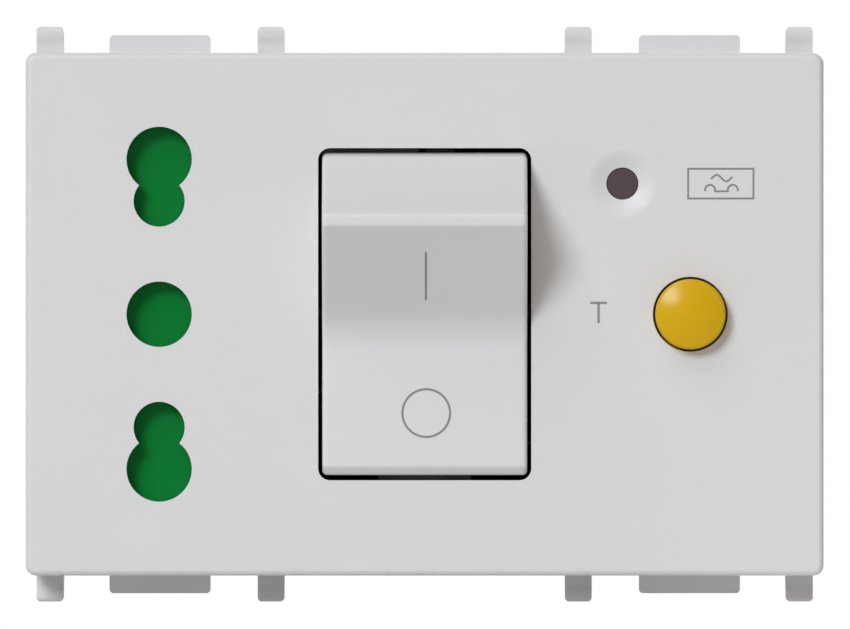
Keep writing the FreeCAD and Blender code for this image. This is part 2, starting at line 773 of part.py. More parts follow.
# Partition between the socket and the breaker
housing.add(
    "y",
    ("skirt_depth + 5 * rib_width", f"{FLOOR} + rear_wall / 2"),
    rectangle(
        f"-{CHEEK_OUT} - rib_width",
        f"-{CHEEK_OUT}",
        f"-{INSIDE_Z} - case_wall / 2",
        "3 * rib_width",
    ),
)

# Ribs that hold the transformer core and the yoke of the magnetic release
CORE_LOW, CORE_HIGH = "(core_x - core_width / 2)", "(core_x + core_width / 2)"
CORE_RIB = ("2 * winding_height", "2 * winding_height + rib_width")
housing.add(
    "y",
    ("core_y + core_radius + seat_gap", f"{FLOOR} + rear_wall / 2"),
    rectangle(CORE_LOW, CORE_HIGH, *[f"core_z + {height}" for height in CORE_RIB]),
    rectangle(CORE_LOW, CORE_HIGH, *[f"core_z - ({height})" for height in CORE_RIB[::-1]]),
)
YOKE_TOP = "(coil_z + coil_radius + coil_wire + running_gap + strip_thickness)"
housing.add(
    "y",
    ("yoke_front", f"{FLOOR} + rear_wall / 2"),
    rectangle(
        "rib_width / -2 - coil_x",
        "rib_width / 2 - coil_x",
        f"{YOKE_TOP} + seat_gap",
        f"{INSIDE_Z} + case_wall / 2",
    ),
)

# Ribs and a shelf round each terminal cage
CAGE_LOW = "(-terminal_height - cage_length / 2)"
CAGE_HIGH = "(cage_length / 2 - terminal_height)"
CAGE_FRONT = "(cage_back - cage_depth)"
SHELF = f"({CAGE_HIGH} + running_gap * 2)"
for place in (-1, 0, 1):
    middle = f"{place} * {TERMINAL}"
    near = "(cage_half + running_gap)"
    far = f"({near} + rib_width)"
    housing.add(
        "y",
        (CAGE_FRONT, f"{FLOOR} + rear_wall / 2"),
        rectangle(
            f"{middle} - {far}", f"{middle} - {near}", f"-{INSIDE_Z} - case_wall / 2", SHELF
        ),
        rectangle(
            f"{middle} + {near}", f"{middle} + {far}", f"-{INSIDE_Z} - case_wall / 2", SHELF
        ),
    )
    housing.add(
        "y",
        (CAGE_FRONT, f"{FLOOR} + rear_wall / 2"),
        rectangle(f"{middle} - {far}", f"{middle} + {far}", SHELF, f"{SHELF} + rib_width"),
    )
    housing.take(
        "z",
        (SHELF, f"{SHELF} + rib_width"),
        rectangle(
            f"{middle} - bar_width / 2 - seat_gap",
            f"{middle} + bar_width / 2 + seat_gap",
            "bar_front - seat_gap",
            "bar_front + strip_thickness + seat_gap",
        ),
    )
    housing.take(
        "z",
        ("-skirt_height / 2", f"-{INSIDE_Z}"),
        rectangle(
            f"{middle} - wire_width / 2",
            f"{middle} + wire_width / 2",
            f"{CAGE_FRONT} + cage_floor",
            "bar_front",
        ),
    )
    housing.take(
        "y",
        (FLOOR, REAR),
        disc(middle, "-terminal_height", "terminal_head + 2 * running_gap"),
    )
finish(housing.body, "rear_housing")

# Four long screws that hold the case together from the back

screws = []
for number, (side, level) in enumerate(CORNERS):
    centre = (f"{side} * {SCREW_X}", f"{level} * {SCREW_Z}")
    head_front = f"({REAR} - screw_head_depth)"
    shank = rod(
        f"case_shank_{number}",
        "y",
        "screw_radius",
        centre,
        ("skirt_depth - screw_grip + running_gap", head_front),
    )
    head = rod(f"case_head_{number}", "y", "screw_head_radius", centre, (head_front, REAR))
    slot = block(
        f"case_slot_{number}",
        (f"{centre[0]} - screw_head_radius * 2", f"{centre[0]} + screw_head_radius * 2"),
        (f"{REAR} - screw_head_depth / 2", f"{REAR} + screw_head_depth"),
        (f"{centre[1]} - screw_head_radius / 5", f"{centre[1]} + screw_head_radius / 5"),
    )
    screws.append(
        cut(f"case_screw_{number}", join(f"case_screw_blank_{number}", shank, head), slot)
    )
finish(group("case_screw_group", *screws), "case_screws")

# Rocker: hollow two-faced key. Its end walls are flat in front, and curved behind the plate
# so that they close the window as it swings

rocker_edge_z = v.window_height / 2 - v.rocker_end
PRESSED_ANGLE = math.degrees(math.atan2(v.rocker_face, rocker_edge_z))
FRONT_ANGLE = PRESSED_ANGLE + v.rocker_swing
BISECTOR = 90 + v.rocker_swing / 2
FACE_HALF_ANGLE = (180 - v.rocker_swing) / 2
SIDEWAYS = Rotation(Vector(0, 0, 1), Vector(0, -1, 0), Vector(1, 0, 0), "XYZ")
PIVOT_Y = v.pivot_depth - v.plate_depth
EDGE_RADIUS = "sqrt((window_height / 2 - rocker_end) ^ 2 + rocker_face ^ 2)"
edge_radius = math.hypot(rocker_edge_z, v.rocker_face)
FLAT_LEVEL = f"({EDGE_RADIUS} * cos(rocker_flat / 2))"
END_WAYS = (FRONT_ANGLE - v.rocker_flat / 2, 180 - PRESSED_ANGLE + v.rocker_flat / 2)


def slice_of_disc(name, radius, start, sweep, width, apex=0.0):
    """Sector about the rocker's axis; angles run from the top towards the front."""
    piece = doc.addObject("Part::Cylinder", name)
    piece.setExpression("Radius", rule(radius))
    piece.setExpression("Height", rule(width))
    piece.Angle = sweep
    way = math.radians(BISECTOR)
    corner = Vector(0, PIVOT_Y - apex * math.sin(way), apex * math.cos(way))
    piece.Placement = Placement(corner, SIDEWAYS.multiply(Rotation(Vector(0, 0, 1), start)))
    piece.setExpression("Placement.Base.x", rule(f"({width}) / -2"))
    return piece


def rocker_blank(name, width, back_off):
    """Disc with two flats, without the notch between the faces and without the open back."""
    back = slice_of_disc(name + "_disc", f"{ROCKER_RADIUS} - {back_off}", 0, 360, width)
    front = slice_of_disc(
        name + "_front", f"{EDGE_RADIUS} - {back_off}", END_WAYS[0], END_WAYS[1] - END_WAYS[0], width
    )
    apex = (v.rocker_face - back_off) / math.sin(math.radians(FACE_HALF_ANGLE))
    notch = slice_of_disc(
        name + "_notch",
        f"4 * {ROCKER_RADIUS}",
        BISECTOR - FACE_HALF_ANGLE,
        2 * FACE_HALF_ANGLE,
        width,
        apex,
    )
    back_start = 180 - PRESSED_ANGLE + v.rocker_wrap
    opening = slice_of_disc(
        name + "_opening",
        f"4 * {ROCKER_RADIUS}",
        back_start,
        FRONT_ANGLE - v.rocker_wrap + 360 - back_start,
        width,
    )
    flats = []
    for number, way in enumerate(END_WAYS):
        beyond = block(
            f"{name}_beyond_{number}",
            (f"-{ROCKER_WIDTH}", ROCKER_WIDTH),
            (f"{PIVOT} - {ROCKER_RADIUS}", f"{PIVOT} + {ROCKER_RADIUS}"),
            (f"{FLAT_LEVEL} - {back_off}", f"2 * {ROCKER_RADIUS}"),
        )
        flats.append(turned(group(f"{name}_flat_{number}", beyond), way, PIVOT_Y, 0))
    return cut(name, join(name + "_whole", back, front), notch, opening, *flats)


rocker_outside = rocker_blank("rocker_outside", ROCKER_WIDTH, 0.0)
valley = rounded(
    "rocker_valley_round",
    rocker_outside,
    v.rocker_valley,
    lambda edge: along(edge, "x")
    and abs(math.hypot(edge.CenterOfMass.y - PIVOT_Y, edge.CenterOfMass.z) - v.rocker_face)
    < v.rocker_face / 3
    and edge.CenterOfMass.y < PIVOT_Y - 0.5,
)


def on_end(edge, depth):
    """Edge across the rocker, no deeper than that under its two corners."""
    reach = math.hypot(edge.CenterOfMass.y - PIVOT_Y, edge.CenterOfMass.z)
    return along(edge, "x") and edge.CenterOfMass.y < PIVOT_Y - 1 and reach > edge_radius - depth


bevelled = rounded(
    "rocker_bevels",
    valley,
    v.rocker_chamfer,
    lambda edge: on_end(edge, 0.1),
    v.rocker_wall_cut,
    "Part::Chamfer",
)
rocker_smooth = rounded(
    "rocker_smooth",
    bevelled,
    v.rocker_edge,
    lambda edge: on_end(edge, v.rocker_chamfer)
    or (
        at(abs(edge.CenterOfMass.x), rocker_width / 2)
        and edge.BoundBox.YMin < PIVOT_Y - 0.5
    ),
)
rocker_inside = rocker_blank("rocker_inside", f"{ROCKER_WIDTH} - 2 * rocker_skin", v.rocker_skin)
rocker_shell = cut("rocker_shell", rocker_smooth, rocker_inside)
HALF_ROCKER = f"{ROCKER_WIDTH} / 2"
HALF_CRANK = "crank_width / 2"
rocker_hub = rod(
    "rocker_hub", "x", "hub_radius", (PIVOT, "0"), (f"-{HALF_ROCKER}", HALF_ROCKER)
)
LINK_TOP = "(crank_reach * sin(rocker_swing / 2))"
LINK_Y = f"({PIVOT} + crank_reach * cos(rocker_swing / 2))"
link_top = v.crank_reach * math.sin(math.radians(v.rocker_swing / 2))
link_y = PIVOT_Y + v.crank_reach * math.cos(math.radians(v.rocker_swing / 2))
CRANK_END = "(2.5 * link_radius)"
crank_end = rod("crank_end", "x", CRANK_END, (LINK_Y, LINK_TOP), (f"-{HALF_CRANK}", HALF_CRANK))
crank_web = block(
    "crank_web",
    (f"-{HALF_CRANK}", HALF_CRANK),
    ("-link_radius", "crank_reach"),
    (f"-{CRANK_END}", CRANK_END),
)
crank_web.Placement = Placement(Vector(), Rotation(Vector(1, 0, 0), v.rocker_swing / 2))
crank_web.setExpression("Placement.Base.x", rule(f"-{HALF_CRANK}"))
crank_web.setExpression("Placement.Base.y", rule(f"{PIVOT} + {CRANK_END} * sin(rocker_swing / 2)"))
crank_web.setExpression("Placement.Base.z", rule(f"-{CRANK_END} * cos(rocker_swing / 2)"))
rocker_solid = join("rocker_solid", rocker_shell, rocker_hub, crank_end, crank_web)
rocker_bore = rod(
    "rocker_bore", "x", BEARING, (PIVOT, "0"), (f"-{ROCKER_WIDTH}", ROCKER_WIDTH)
)
crank_bore = rod(
    "crank_bore",
    "x",
    "link_radius + link_play",
    (LINK_Y, LINK_TOP),
    ("-crank_width", "crank_width"),
)
finish(cut("rocker_piece", rocker_solid, rocker_bore, crank_bore), "rocker")
finish(
    rod("rocker_pin_piece", "x", "pin_radius", (PIVOT, "0"), (f"-{CHEEK_OUT}", CHEEK_OUT)),
    "rocker_pin",
)

# Link: steel staple between the rocker's crank and the horn of the contact shaft
staple_x = v.crank_width / 2 + 2 * v.link_radius
link_low = link_top - v.link_drop
finish(
    shaped(
        "link_piece",
        lead(
            [
                (-staple_x, link_y, link_top),
                (staple_x, link_y, link_top),
                (staple_x, link_y, link_low),
                (-staple_x, link_y, link_low),
            ],
            v.link_radius,
            1.5 * v.link_radius,
        ),
    ),
    "link",
)

# Contact shaft: insulating hub with a horn for the link, carrying both moving contacts.
# It is drawn closed, with its arms level, and then turned back to the open position.

SHAFT_HALF = "asin(crank_reach * sin(rocker_swing / 2) / horn_reach)"
SHAFT_Y = f"({LINK_Y} + horn_reach * cos({SHAFT_HALF}))"
SHAFT_Z = "(-link_drop)"
shaft_half = math.degrees(math.asin(link_top / v.horn_reach))
shaft_y = link_y + v.horn_reach * math.cos(math.radians(shaft_half))
shaft_z = -v.link_drop
CHASSIS_IN = f"({ROCKER_WIDTH} / 2 + chassis_gap * 1.5)"
CHASSIS_OUT = f"({CHASSIS_IN} + chassis_wall)"


def opened(piece):
    """Turns a piece of the contact shaft from closed back to open."""
    return turned(piece, -2 * shaft_half, shaft_y, shaft_z)


HORN_SLACK = (
    f"(crank_reach * (1 - cos(rocker_swing / 2)) + horn_reach * (1 - cos({SHAFT_HALF})))"
)
HORN_HOLE = "(link_radius + link_play)"
HORN_HALF = f"({HORN_HOLE} + link_radius)"
horn_blank = block(
    "horn_blank",
    (f"-{HALF_CRANK}", HALF_CRANK),
    (f"{SHAFT_Y} - horn_reach - {HORN_HALF}", SHAFT_Y),
    (f"{SHAFT_Z} - {HORN_HALF}", f"{SHAFT_Z} + {HORN_HALF}"),
)
horn_slot = [
    rod(
        f"horn_hole_{number}",
        "x",
        HORN_HOLE,
        (f"{SHAFT_Y} - horn_reach + {slack}", SHAFT_Z),
        ("-crank_width", "crank_width"),
    )
    for number, slack in enumerate(("0", HORN_SLACK))
]
horn_slot.append(
    block(
        "horn_slot",
        ("-crank_width", "crank_width"),
        (f"{SHAFT_Y} - horn_reach", f"{SHAFT_Y} - horn_reach + {HORN_SLACK}"),
        (f"{SHAFT_Z} - {HORN_HOLE}", f"{SHAFT_Z} + {HORN_HOLE}"),
    )
)
horn = group("shaft_horn", cut("horn_holed", horn_blank, *horn_slot))
turned(horn, shaft_half, shaft_y, shaft_z)
HUB_LEFT = "(-arm_offset - arm_width / 2 - running_gap)"
shaft_hub = rod(
    "shaft_hub",
    "x",
    "hub_radius",
    (SHAFT_Y, SHAFT_Z),
    (HUB_LEFT, f"{CHASSIS_IN} - running_gap"),
)
ARM_START = f"({SHAFT_Y} + pin_radius + 2 * running_gap)"
ARM_SLOTS = [
    block(
        f"arm_slot_{number}",
        (
            f"{side} * arm_offset - arm_width / 2 - seat_gap",
            f"{side} * arm_offset + arm_width / 2 + seat_gap",
        ),
        (ARM_START, f"{SHAFT_Y} + arm_reach"),
        (f"{SHAFT_Z} - arm_height / 2 - seat_gap", f"{SHAFT_Z} + arm_height / 2 + seat_gap"),
    )
    for number, side in enumerate((-1, 1))
]
shaft_bore = rod("shaft_bore", "x", BEARING, (SHAFT_Y, SHAFT_Z), (f"-{ROCKER_WIDTH}", ROCKER_WIDTH))
shaft_closed = cut("shaft_closed", join("shaft_blank", shaft_hub, horn), shaft_bore, *ARM_SLOTS)
finish(opened(group("contact_shaft_piece", shaft_closed)), "contact_shaft")

TIP_Y = f"({SHAFT_Y} + arm_reach - 1.5 * tip_radius)"
ARM_TOP = f"({SHAFT_Z} + arm_height / 2)"
FIXED_TIP = f"({ARM_TOP} + tip_height + tip_gap)"
STRIP_LOW = f"({FIXED_TIP} + tip_height)"
for side, label in ((1, "line"), (-1, "neutral")):
    middle = f"{side} * arm_offset"
    arm = block(
        f"arm_{label}",
        (f"{middle} - arm_width / 2", f"{middle} + arm_width / 2"),
        (f"{ARM_START} + seat_gap", f"{SHAFT_Y} + arm_reach"),
        (f"{SHAFT_Z} - arm_height / 2", ARM_TOP),
    )
    tip_span = (ARM_TOP, f"{ARM_TOP} + tip_height")
    tip = rod(f"arm_tip_{label}", "z", "tip_radius", (middle, TIP_Y), tip_span)
    finish(
        opened(group(f"moving_contact_{label}_piece", join(f"arm_with_tip_{label}", arm, tip))),
        f"moving_contact_{label}",
    )
    strip = block(
        f"fixed_strip_{label}",
        (f"{middle} - 1.5 * arm_width / 2", f"{middle} + 1.5 * arm_width / 2"),
        (f"{TIP_Y} - 1.5 * tip_radius", f"{FLOOR} - seat_gap"),
        (STRIP_LOW, f"{STRIP_LOW} + strip_thickness"),
    )
    tip = rod(f"fixed_tip_{label}", "z", "tip_radius", (middle, TIP_Y), (FIXED_TIP, STRIP_LOW))
    finish(join(f"fixed_contact_{label}_piece", strip, tip), f"fixed_contact_{label}")

PIN_SPAN = (f"-{CHASSIS_OUT}", CHASSIS_OUT)
finish(rod("shaft_pin_piece", "x", "pin_radius", (SHAFT_Y, SHAFT_Z), PIN_SPAN), "shaft_pin")
chassis_in = rocker_width / 2 + 1.5 * v.chassis_gap
finish(
    shaped(
        "opening_spring_piece",
        coil(
            "x",
            (shaft_y, shaft_z),
            v.seat_gap - chassis_in,
            -v.arm_offset - v.arm_width / 2 - v.running_gap - v.seat_gap,
            v.pin_radius + v.fine_wire + v.running_gap,
            v.fine_wire,
            turns=3,
        ),
    ),
    "opening_spring",
)

# Chassis: two side plates that close the rocker's bearings and carry both shafts

WRAP_END = "((window_height / 2 - rocker_end) * sin(rocker_wrap) - rocker_face * cos(rocker_wrap))"
ROCKER_BACK = f"({PIVOT} + {ROCKER_RADIUS} * {WRAP_END} / {EDGE_RADIUS})"
CHASSIS_FRONT = f"({ROCKER_BACK} + 2 * chassis_gap)"
TRIP_PIN = "(pin_radius - 4 * pin_clearance)"
plates = []
for side in (-1, 1):
    low, high = (CHASSIS_IN, CHASSIS_OUT) if side > 0 else (f"-{CHASSIS_OUT}", f"-{CHASSIS_IN}")
    plates.append(
        block(
            f"chassis_plate_{side + 1}",
            (low, high),
            (CHASSIS_FRONT, f"{CHASSIS_FRONT} + chassis_depth"),
            (f"running_gap - {INSIDE_Z}", "trip_z + 2 * hub_radius"),
        )
    )
    plates.append(
        block(
            f"chassis_prong_{side + 1}",
            (low, high),
            (f"{PIVOT} + pin_radius + seat_gap", CHASSIS_FRONT),
            (f"running_gap - {BEARING}", f"{BEARING} - running_gap"),
        )
    )
CROSS_TOP = f"({SHAFT_Z} - hub_radius - 4 * running_gap)"
plates.append(
    block(
        "chassis_cross",
        (f"-{CHASSIS_OUT}", CHASSIS_OUT),
        (CHASSIS_FRONT, f"{SHAFT_Y} + pin_radius"),
        (f"{CROSS_TOP} - chassis_wall", CROSS_TOP),
    )
)
wide = (f"-{ROCKER_WIDTH}", ROCKER_WIDTH)
chassis_holes = [
    rod("chassis_shaft_hole", "x", BEARING, (SHAFT_Y, SHAFT_Z), wide),
    rod("chassis_trip_hole", "x", f"({TRIP_PIN} + pin_clearance)", ("trip_y", "trip_z"), wide),
]
finish(cut("chassis_piece", join("chassis_blank", *plates), *chassis_holes), "chassis")

# Trip bar: crossbar above the contact shaft that each release pushes forwards

TRIP_SPAN = (f"hub_radius - {CHASSIS_IN}", f"{CHASSIS_IN} - running_gap")
trip_hub = rod("trip_hub", "x", f"2 * {TRIP_PIN}", ("trip_y", "trip_z"), TRIP_SPAN)
trip_paddle = block(
    "trip_paddle",
    TRIP_SPAN,
    (f"trip_y - {TRIP_PIN}", f"trip_y + {TRIP_PIN}"),
    ("trip_z", "coil_z + hub_radius"),
)
trip_bore = rod("trip_bore", "x", f"({TRIP_PIN} + pin_clearance)", ("trip_y", "trip_z"), wide)
finish(cut("trip_bar_piece", join("trip_bar_blank", trip_hub, trip_paddle), trip_bore), "trip_bar")
finish(rod("trip_pin_piece", "x", TRIP_PIN, ("trip_y", "trip_z"), PIN_SPAN), "trip_pin")
trip_pin = v.pin_radius - 4 * v.pin_clearance
finish(
    shaped(
        "trip_spring_piece",
        coil(
            "x",
            (v.trip_y, v.trip_z),
            v.running_gap - chassis_in,
            v.hub_radius - chassis_in - v.running_gap,
            trip_pin + v.spring_wire + v.running_gap,
            v.spring_wire,
            turns=4,
        ),
    ),
    "trip_spring",
)

# Magnetic release: bare winding on a tube in a steel yoke, with a sprung plunger

COIL_X = "-coil_x"
YOKE_BACK = "(yoke_front + 2 * strip_thickness + coil_length + 2 * running_gap)"
yoke_back = v.yoke_front + 2 * v.strip_thickness + v.coil_length + 2 * v.running_gap
coil_out = v.coil_radius + v.coil_wire
half_strip = v.strip_thickness / 2
yoke_top = v.coil_z + coil_out + v.running_gap + half_strip
yoke_low = v.coil_z - coil_out
yoke_strip = bent_strip(
    [
        (v.yoke_front + half_strip, yoke_low),
        (v.yoke_front + half_strip, yoke_top),
        (yoke_back - half_strip, yoke_top),
        (yoke_back - half_strip, yoke_low),
    ],
    v.strip_thickness,
    "x",
    -v.coil_x - coil_out,
    -v.coil_x + coil_out,
)
PLUNGER = "(coil_radius / 2)"
COIL_CENTRE = (COIL_X, "coil_z")
yoke_hole = rod(
    "yoke_hole",
    "y",
    f"{TRIP_PIN} + 2 * running_gap",
    COIL_CENTRE,
    ("yoke_front - rib_width", "yoke_front + 2 * strip_thickness"),
)
finish(cut("coil_yoke_piece", shaped("coil_yoke_strip", yoke_strip), yoke_hole), "coil_yoke")
coil_front = v.yoke_front + v.strip_thickness + v.running_gap
finish(
    shaped(
        "trip_coil_piece",
        coil(
            "y",
            (-v.coil_x, v.coil_z),
            coil_front,
            coil_front + v.coil_length,
            v.coil_radius,
            v.coil_wire,
            v.coil_turns,
        ),
    ),
    "trip_coil",
)
TUBE_IN = f"({PLUNGER} + running_gap)"
TUBE_SPAN = ("yoke_front + strip_thickness + seat_gap", f"{YOKE_BACK} - strip_thickness - seat_gap")
tube = cut(
    "coil_tube_piece",
    rod("coil_tube_blank", "y", "coil_radius - coil_wire - running_gap", COIL_CENTRE, TUBE_SPAN),
    rod("coil_tube_bore", "y", TUBE_IN, COIL_CENTRE, TUBE_SPAN),
)
finish(tube, "coil_tube")
PLUNGER_TIP = f"(trip_y + {TRIP_PIN} + running_gap)"
PLUNGER_FRONT = "(yoke_front + strip_thickness + 2 * chassis_gap)"
PLUNGER_BACK = f"({YOKE_BACK} - coil_length / 2)"
plunger_body = rod("plunger_body", "y", PLUNGER, COIL_CENTRE, (PLUNGER_FRONT, PLUNGER_BACK))
plunger_nose = rod("plunger_nose", "y", TRIP_PIN, COIL_CENTRE, (PLUNGER_TIP, PLUNGER_FRONT))
finish(join("coil_plunger_piece", plunger_body, plunger_nose), "coil_plunger")
finish(
    shaped(
        "plunger_spring_piece",
        coil(
            "y",
            (-v.coil_x, v.coil_z),
            yoke_back - v.coil_length / 2 + v.seat_gap,
            yoke_back - v.strip_thickness - v.seat_gap,
            v.coil_radius / 2 - 2 * v.spring_wire,
            v.spring_wire,
            turns=6,
        ),
    ),
    "plunger_spring",
)

# Thermal release: bimetal strip hung from the roof of the case

inside_z = v.skirt_height / 2 - v.case_wall
bimetal_half = v.finger_strip / 2
bimetal_y = v.trip_y + trip_pin + 2 * v.running_gap + bimetal_half
bimetal_left = -v.coil_x + coil_out + v.chassis_gap
finish(
    shaped(
        "bimetal_piece",
        bent_strip(
            [
                (bimetal_y, v.coil_z - v.hub_radius / 2),
                (bimetal_y, inside_z - v.seat_gap - bimetal_half),
                (bimetal_y + v.housing_depth / 4, inside_z - v.seat_gap - bimetal_half),
            ],
            v.finger_strip,
            "x",
            bimetal_left,
            bimetal_left + v.bar_width / 2,
        ),
    ),
    "bimetal_strip",
)

# Residual-current release beside the magnetic one

RELAY_LEFT = "(coil_radius + coil_wire - coil_x + 2 * chassis_gap + bar_width / 2)"
RELAY_RIGHT = f"({CHASSIS_IN} - running_gap)"
RELAY_X = f"(({RELAY_LEFT} + {RELAY_RIGHT}) / 2)"
relay_box = block(
    "relay_box",
    (RELAY_LEFT, RELAY_RIGHT),
    ("yoke_front", "yoke_front + coil_length - 2 * strip_thickness"),
    ("coil_z - coil_radius", "coil_z + coil_radius"),
)
relay_bore = rod(
    "relay_bore",
    "y",
    f"{TRIP_PIN} + running_gap",
    (RELAY_X, "coil_z"),
    ("yoke_front - rib_width", "yoke_front + coil_length / 2"),
)
finish(cut("trip_relay_piece", relay_box, relay_bore), "trip_relay")
finish(
    rod(
        "relay_pin_piece",
        "y",
        TRIP_PIN,
        (RELAY_X, "coil_z"),
        (PLUNGER_TIP, "yoke_front + coil_length / 2 - running_gap"),
    ),
    "relay_pin",
)

# Arc chamber: steel plates in an insulating side wall behind the line contact

ARC_LEFT = "(cage_half + 2 * running_gap + rib_width + chassis_gap / 2)"
ARC_RIGHT = CHASSIS_IN
ARC_FRONT = f"({SHAFT_Y} + arm_reach + chassis_gap)"
ARC_TOP = f"({STRIP_LOW} - chassis_gap)"
ARC_PITCH = "(strip_thickness * 1.2)"
arc_plates = [
    block(
        f"arc_plate_{number}",
        (ARC_LEFT, ARC_RIGHT),
        (ARC_FRONT, f"{ARC_FRONT} + coil_length / 2"),
        (
            f"{ARC_TOP} - {number} * {ARC_PITCH} - rib_width * 0.7",
            f"{ARC_TOP} - {number} * {ARC_PITCH}",
        ),
    )
    for number in range(5)
]
finish(group("arc_plate_group", *arc_plates), "arc_plates")
finish(
    block(
        "arc_side_piece",
        (ARC_RIGHT, f"{ARC_RIGHT} + rib_width"),
        (ARC_FRONT, f"{FLOOR} - seat_gap"),
        (f"{ARC_TOP} - 5 * {ARC_PITCH}", ARC_TOP),
    ),
    "arc_side",
)

# Residual-current transformer: toroid with twelve turns round it

core = cut(
    "transformer_core_piece",
    rod("core_blank", "x", "core_radius", ("core_y", "core_z"), (CORE_LOW, CORE_HIGH)),
    rod("core_hole", "x", "core_hole", ("core_y", "core_z"), (CORE_LOW, CORE_HIGH)),
)
finish(core, "transformer_core")
WINDINGS = 12
loops = []
for number in range(WINDINGS):
    loop = cut(
        f"winding_loop_{number}",
        block(
            f"winding_out_{number}",
            (f"{CORE_LOW} - winding_height", f"{CORE_HIGH} + winding_height"),
            ("core_y - rib_width / 2", "core_y + rib_width / 2"),
            ("core_z + core_hole - winding_height", "core_z + core_radius + winding_height"),
        ),
        block(
            f"winding_in_{number}",
            (f"{CORE_LOW} - seat_gap", f"{CORE_HIGH} + seat_gap"),
            ("core_y - rib_width", "core_y + rib_width"),
            ("core_z + core_hole - 2 * seat_gap", "core_z + core_radius + seat_gap"),
        ),
    )
    loops.append(
        turned(group(f"winding_turn_{number}", loop), number * 360 / WINDINGS, v.core_y, v.core_z)
    )
finish(group("winding_group", *loops), "transformer_winding")

# Circuit board with its parts, in front of the transformer

BOARD_LEFT = f"({CHASSIS_OUT} + 2 * rib_width)"
BOARD_SPAN = ("board_front", "board_front + board_thickness")
finish(
    block(
        "board_piece",
        (BOARD_LEFT, f"{POST_X} - chassis_gap"),
        BOARD_SPAN,
        ("-terminal_height / 2 - rib_width", f"{INSIDE_Z} - running_gap"),
    ),
    "circuit_board",
)
BOARD_BACK = "(board_front + board_thickness)"
capacitors = [
    rod(
        f"capacitor_{number}",
        "y",
        "hub_radius",
        (f"{BOARD_LEFT} + {place} * hub_radius", "lens_z + hub_radius"),
        (BOARD_BACK, f"{BOARD_BACK} + 2 * hub_radius"),
    )
    for number, place in enumerate((2, 4.5))
]
chip = block(
    "board_chip",
    (f"{BOARD_LEFT} + rib_width", f"{BOARD_LEFT} + 8 * rib_width"),
    (BOARD_BACK, f"{BOARD_BACK} + 1.5 * rib_width"),
    ("0", "lens_z / 2"),
)
finish(group("board_parts_group", *capacitors, chip), "board_parts")

# Test circuit: button with its guide, spring, leaf contact and resistor

BUTTON_CENTRE = (MODULE, "0")
CROWN = f"({FACE} - button_rise)"
FLANGE_BACK = f"({BEHIND} + seat_gap + rib_width)"
DOME_RISE = "(button_rise - button_shoulder)"
DOME = f"((button_radius ^ 2 + {DOME_RISE} ^ 2) / (2 * {DOME_RISE}))"
dome = doc.addObject("Part::Sphere", "button_dome")
dome.setExpression("Radius", rule(DOME))
dome.setExpression("Placement.Base.x", rule(MODULE))
dome.setExpression("Placement.Base.y", rule(f"{CROWN} + {DOME}"))
head = doc.addObject("Part::Common", "button_head")
head.Base = rod("button_barrel", "y", "button_radius", BUTTON_CENTRE, (CROWN, FLANGE_BACK))
head.Tool = dome
soft_head = rounded(
    "button_soft_head",
    head,
    v.running_gap * 2,
    lambda edge: at(edge.BoundBox.YLength, 0)
    and at(edge.BoundBox.YMin, -v.plate_depth - v.button_shoulder),
)
flange = rod(
    "button_flange", "y", "button_flange", BUTTON_CENTRE, (f"{BEHIND} + seat_gap", FLANGE_BACK)
)
STEM_END = "(board_front - button_travel - 2 * running_gap)"
stem = rod("button_stem", "y", "stem_radius", BUTTON_CENTRE, (FLANGE_BACK, STEM_END))
finish(join("test_button_piece", soft_head, flange, stem), "test_button")
guide_blank = block(
    "guide_blank",
    (f"{MODULE} - guide_half", f"{MODULE} + guide_half"),
    (f"{BEHIND} + seat_gap", "guide_back"),
    ("-button_hole", "button_hole"),
)
guide_inside = block(
    "guide_inside",
    (f"{MODULE} - guide_half + guide_wall", f"{MODULE} + guide_half - guide_wall"),
    (FACE, "guide_back - guide_wall"),
    ("-plate_depth", "plate_depth"),
)
guide_bore = rod(
    "guide_bore", "y", "stem_radius + running_gap", BUTTON_CENTRE, ("0", "guide_back + rib_width")
)
finish(cut("button_guide_piece", guide_blank, guide_inside, guide_bore), "button_guide")
behind = v.front_wall - v.plate_depth
finish(
    shaped(
        "button_spring_piece",
        coil(
            "y",
            (module, 0.0),
            behind + v.rib_width + 2 * v.seat_gap,
            v.guide_back - v.guide_wall - v.seat_gap,
            v.stem_radius + 4 * v.running_gap,
            v.button_wire,
            turns=5,
        ),
    ),
    "button_spring",
)
leaf_y = v.board_front - v.button_travel + v.running_gap
leaf = 2 * v.running_gap
finish(
    shaped(
        "test_leaf_piece",
        bent_strip(
            [
                (v.board_front - leaf / 2, 3 * v.button_radius),
                (v.board_front - leaf / 2, 2 * v.button_radius),
                (leaf_y, 1.5 * v.button_radius),
                (leaf_y, -v.button_radius / 2),
            ],
            leaf,
            "x",
            module - v.stem_radius,
            module + v.stem_radius,
        ),
    ),
    "test_leaf",
)
finish(
    rod(
        "test_resistor_piece",
        "z",
        "pin_radius",
        (f"{BOARD_LEFT} + 5 * pin_radius", "board_front - pin_radius - seat_gap"),
        ("-terminal_height / 2", "0"),
    ),
    "test_resistor",
)

# Indicator: tinted lens in its dish, with the lamp on the board behind it

LENS_CENTRE = ("lens_x", "lens_z")
LENS_BACK = f"({BEHIND} + 4 * rib_width)"
lens = join(
    "indicator_lens_piece",
    rod("lens_rod", "y", "lens_radius", LENS_CENTRE, (f"{FACE} + dish_depth", LENS_BACK)),
    rod(
        "lens_flange",
        "y",
        "lens_radius + rib_width",
        LENS_CENTRE,
        (f"{BEHIND} + seat_gap", f"{BEHIND} + seat_gap + rib_width"),
    ),
)
finish(lens, "indicator_lens")
finish(
    rod(
        "indicator_lamp_piece",
        "y",
        "lens_radius + running_gap",
        LENS_CENTRE,
        (f"{LENS_BACK} + running_gap", "board_front"),
    ),
    "indicator_lamp",
)

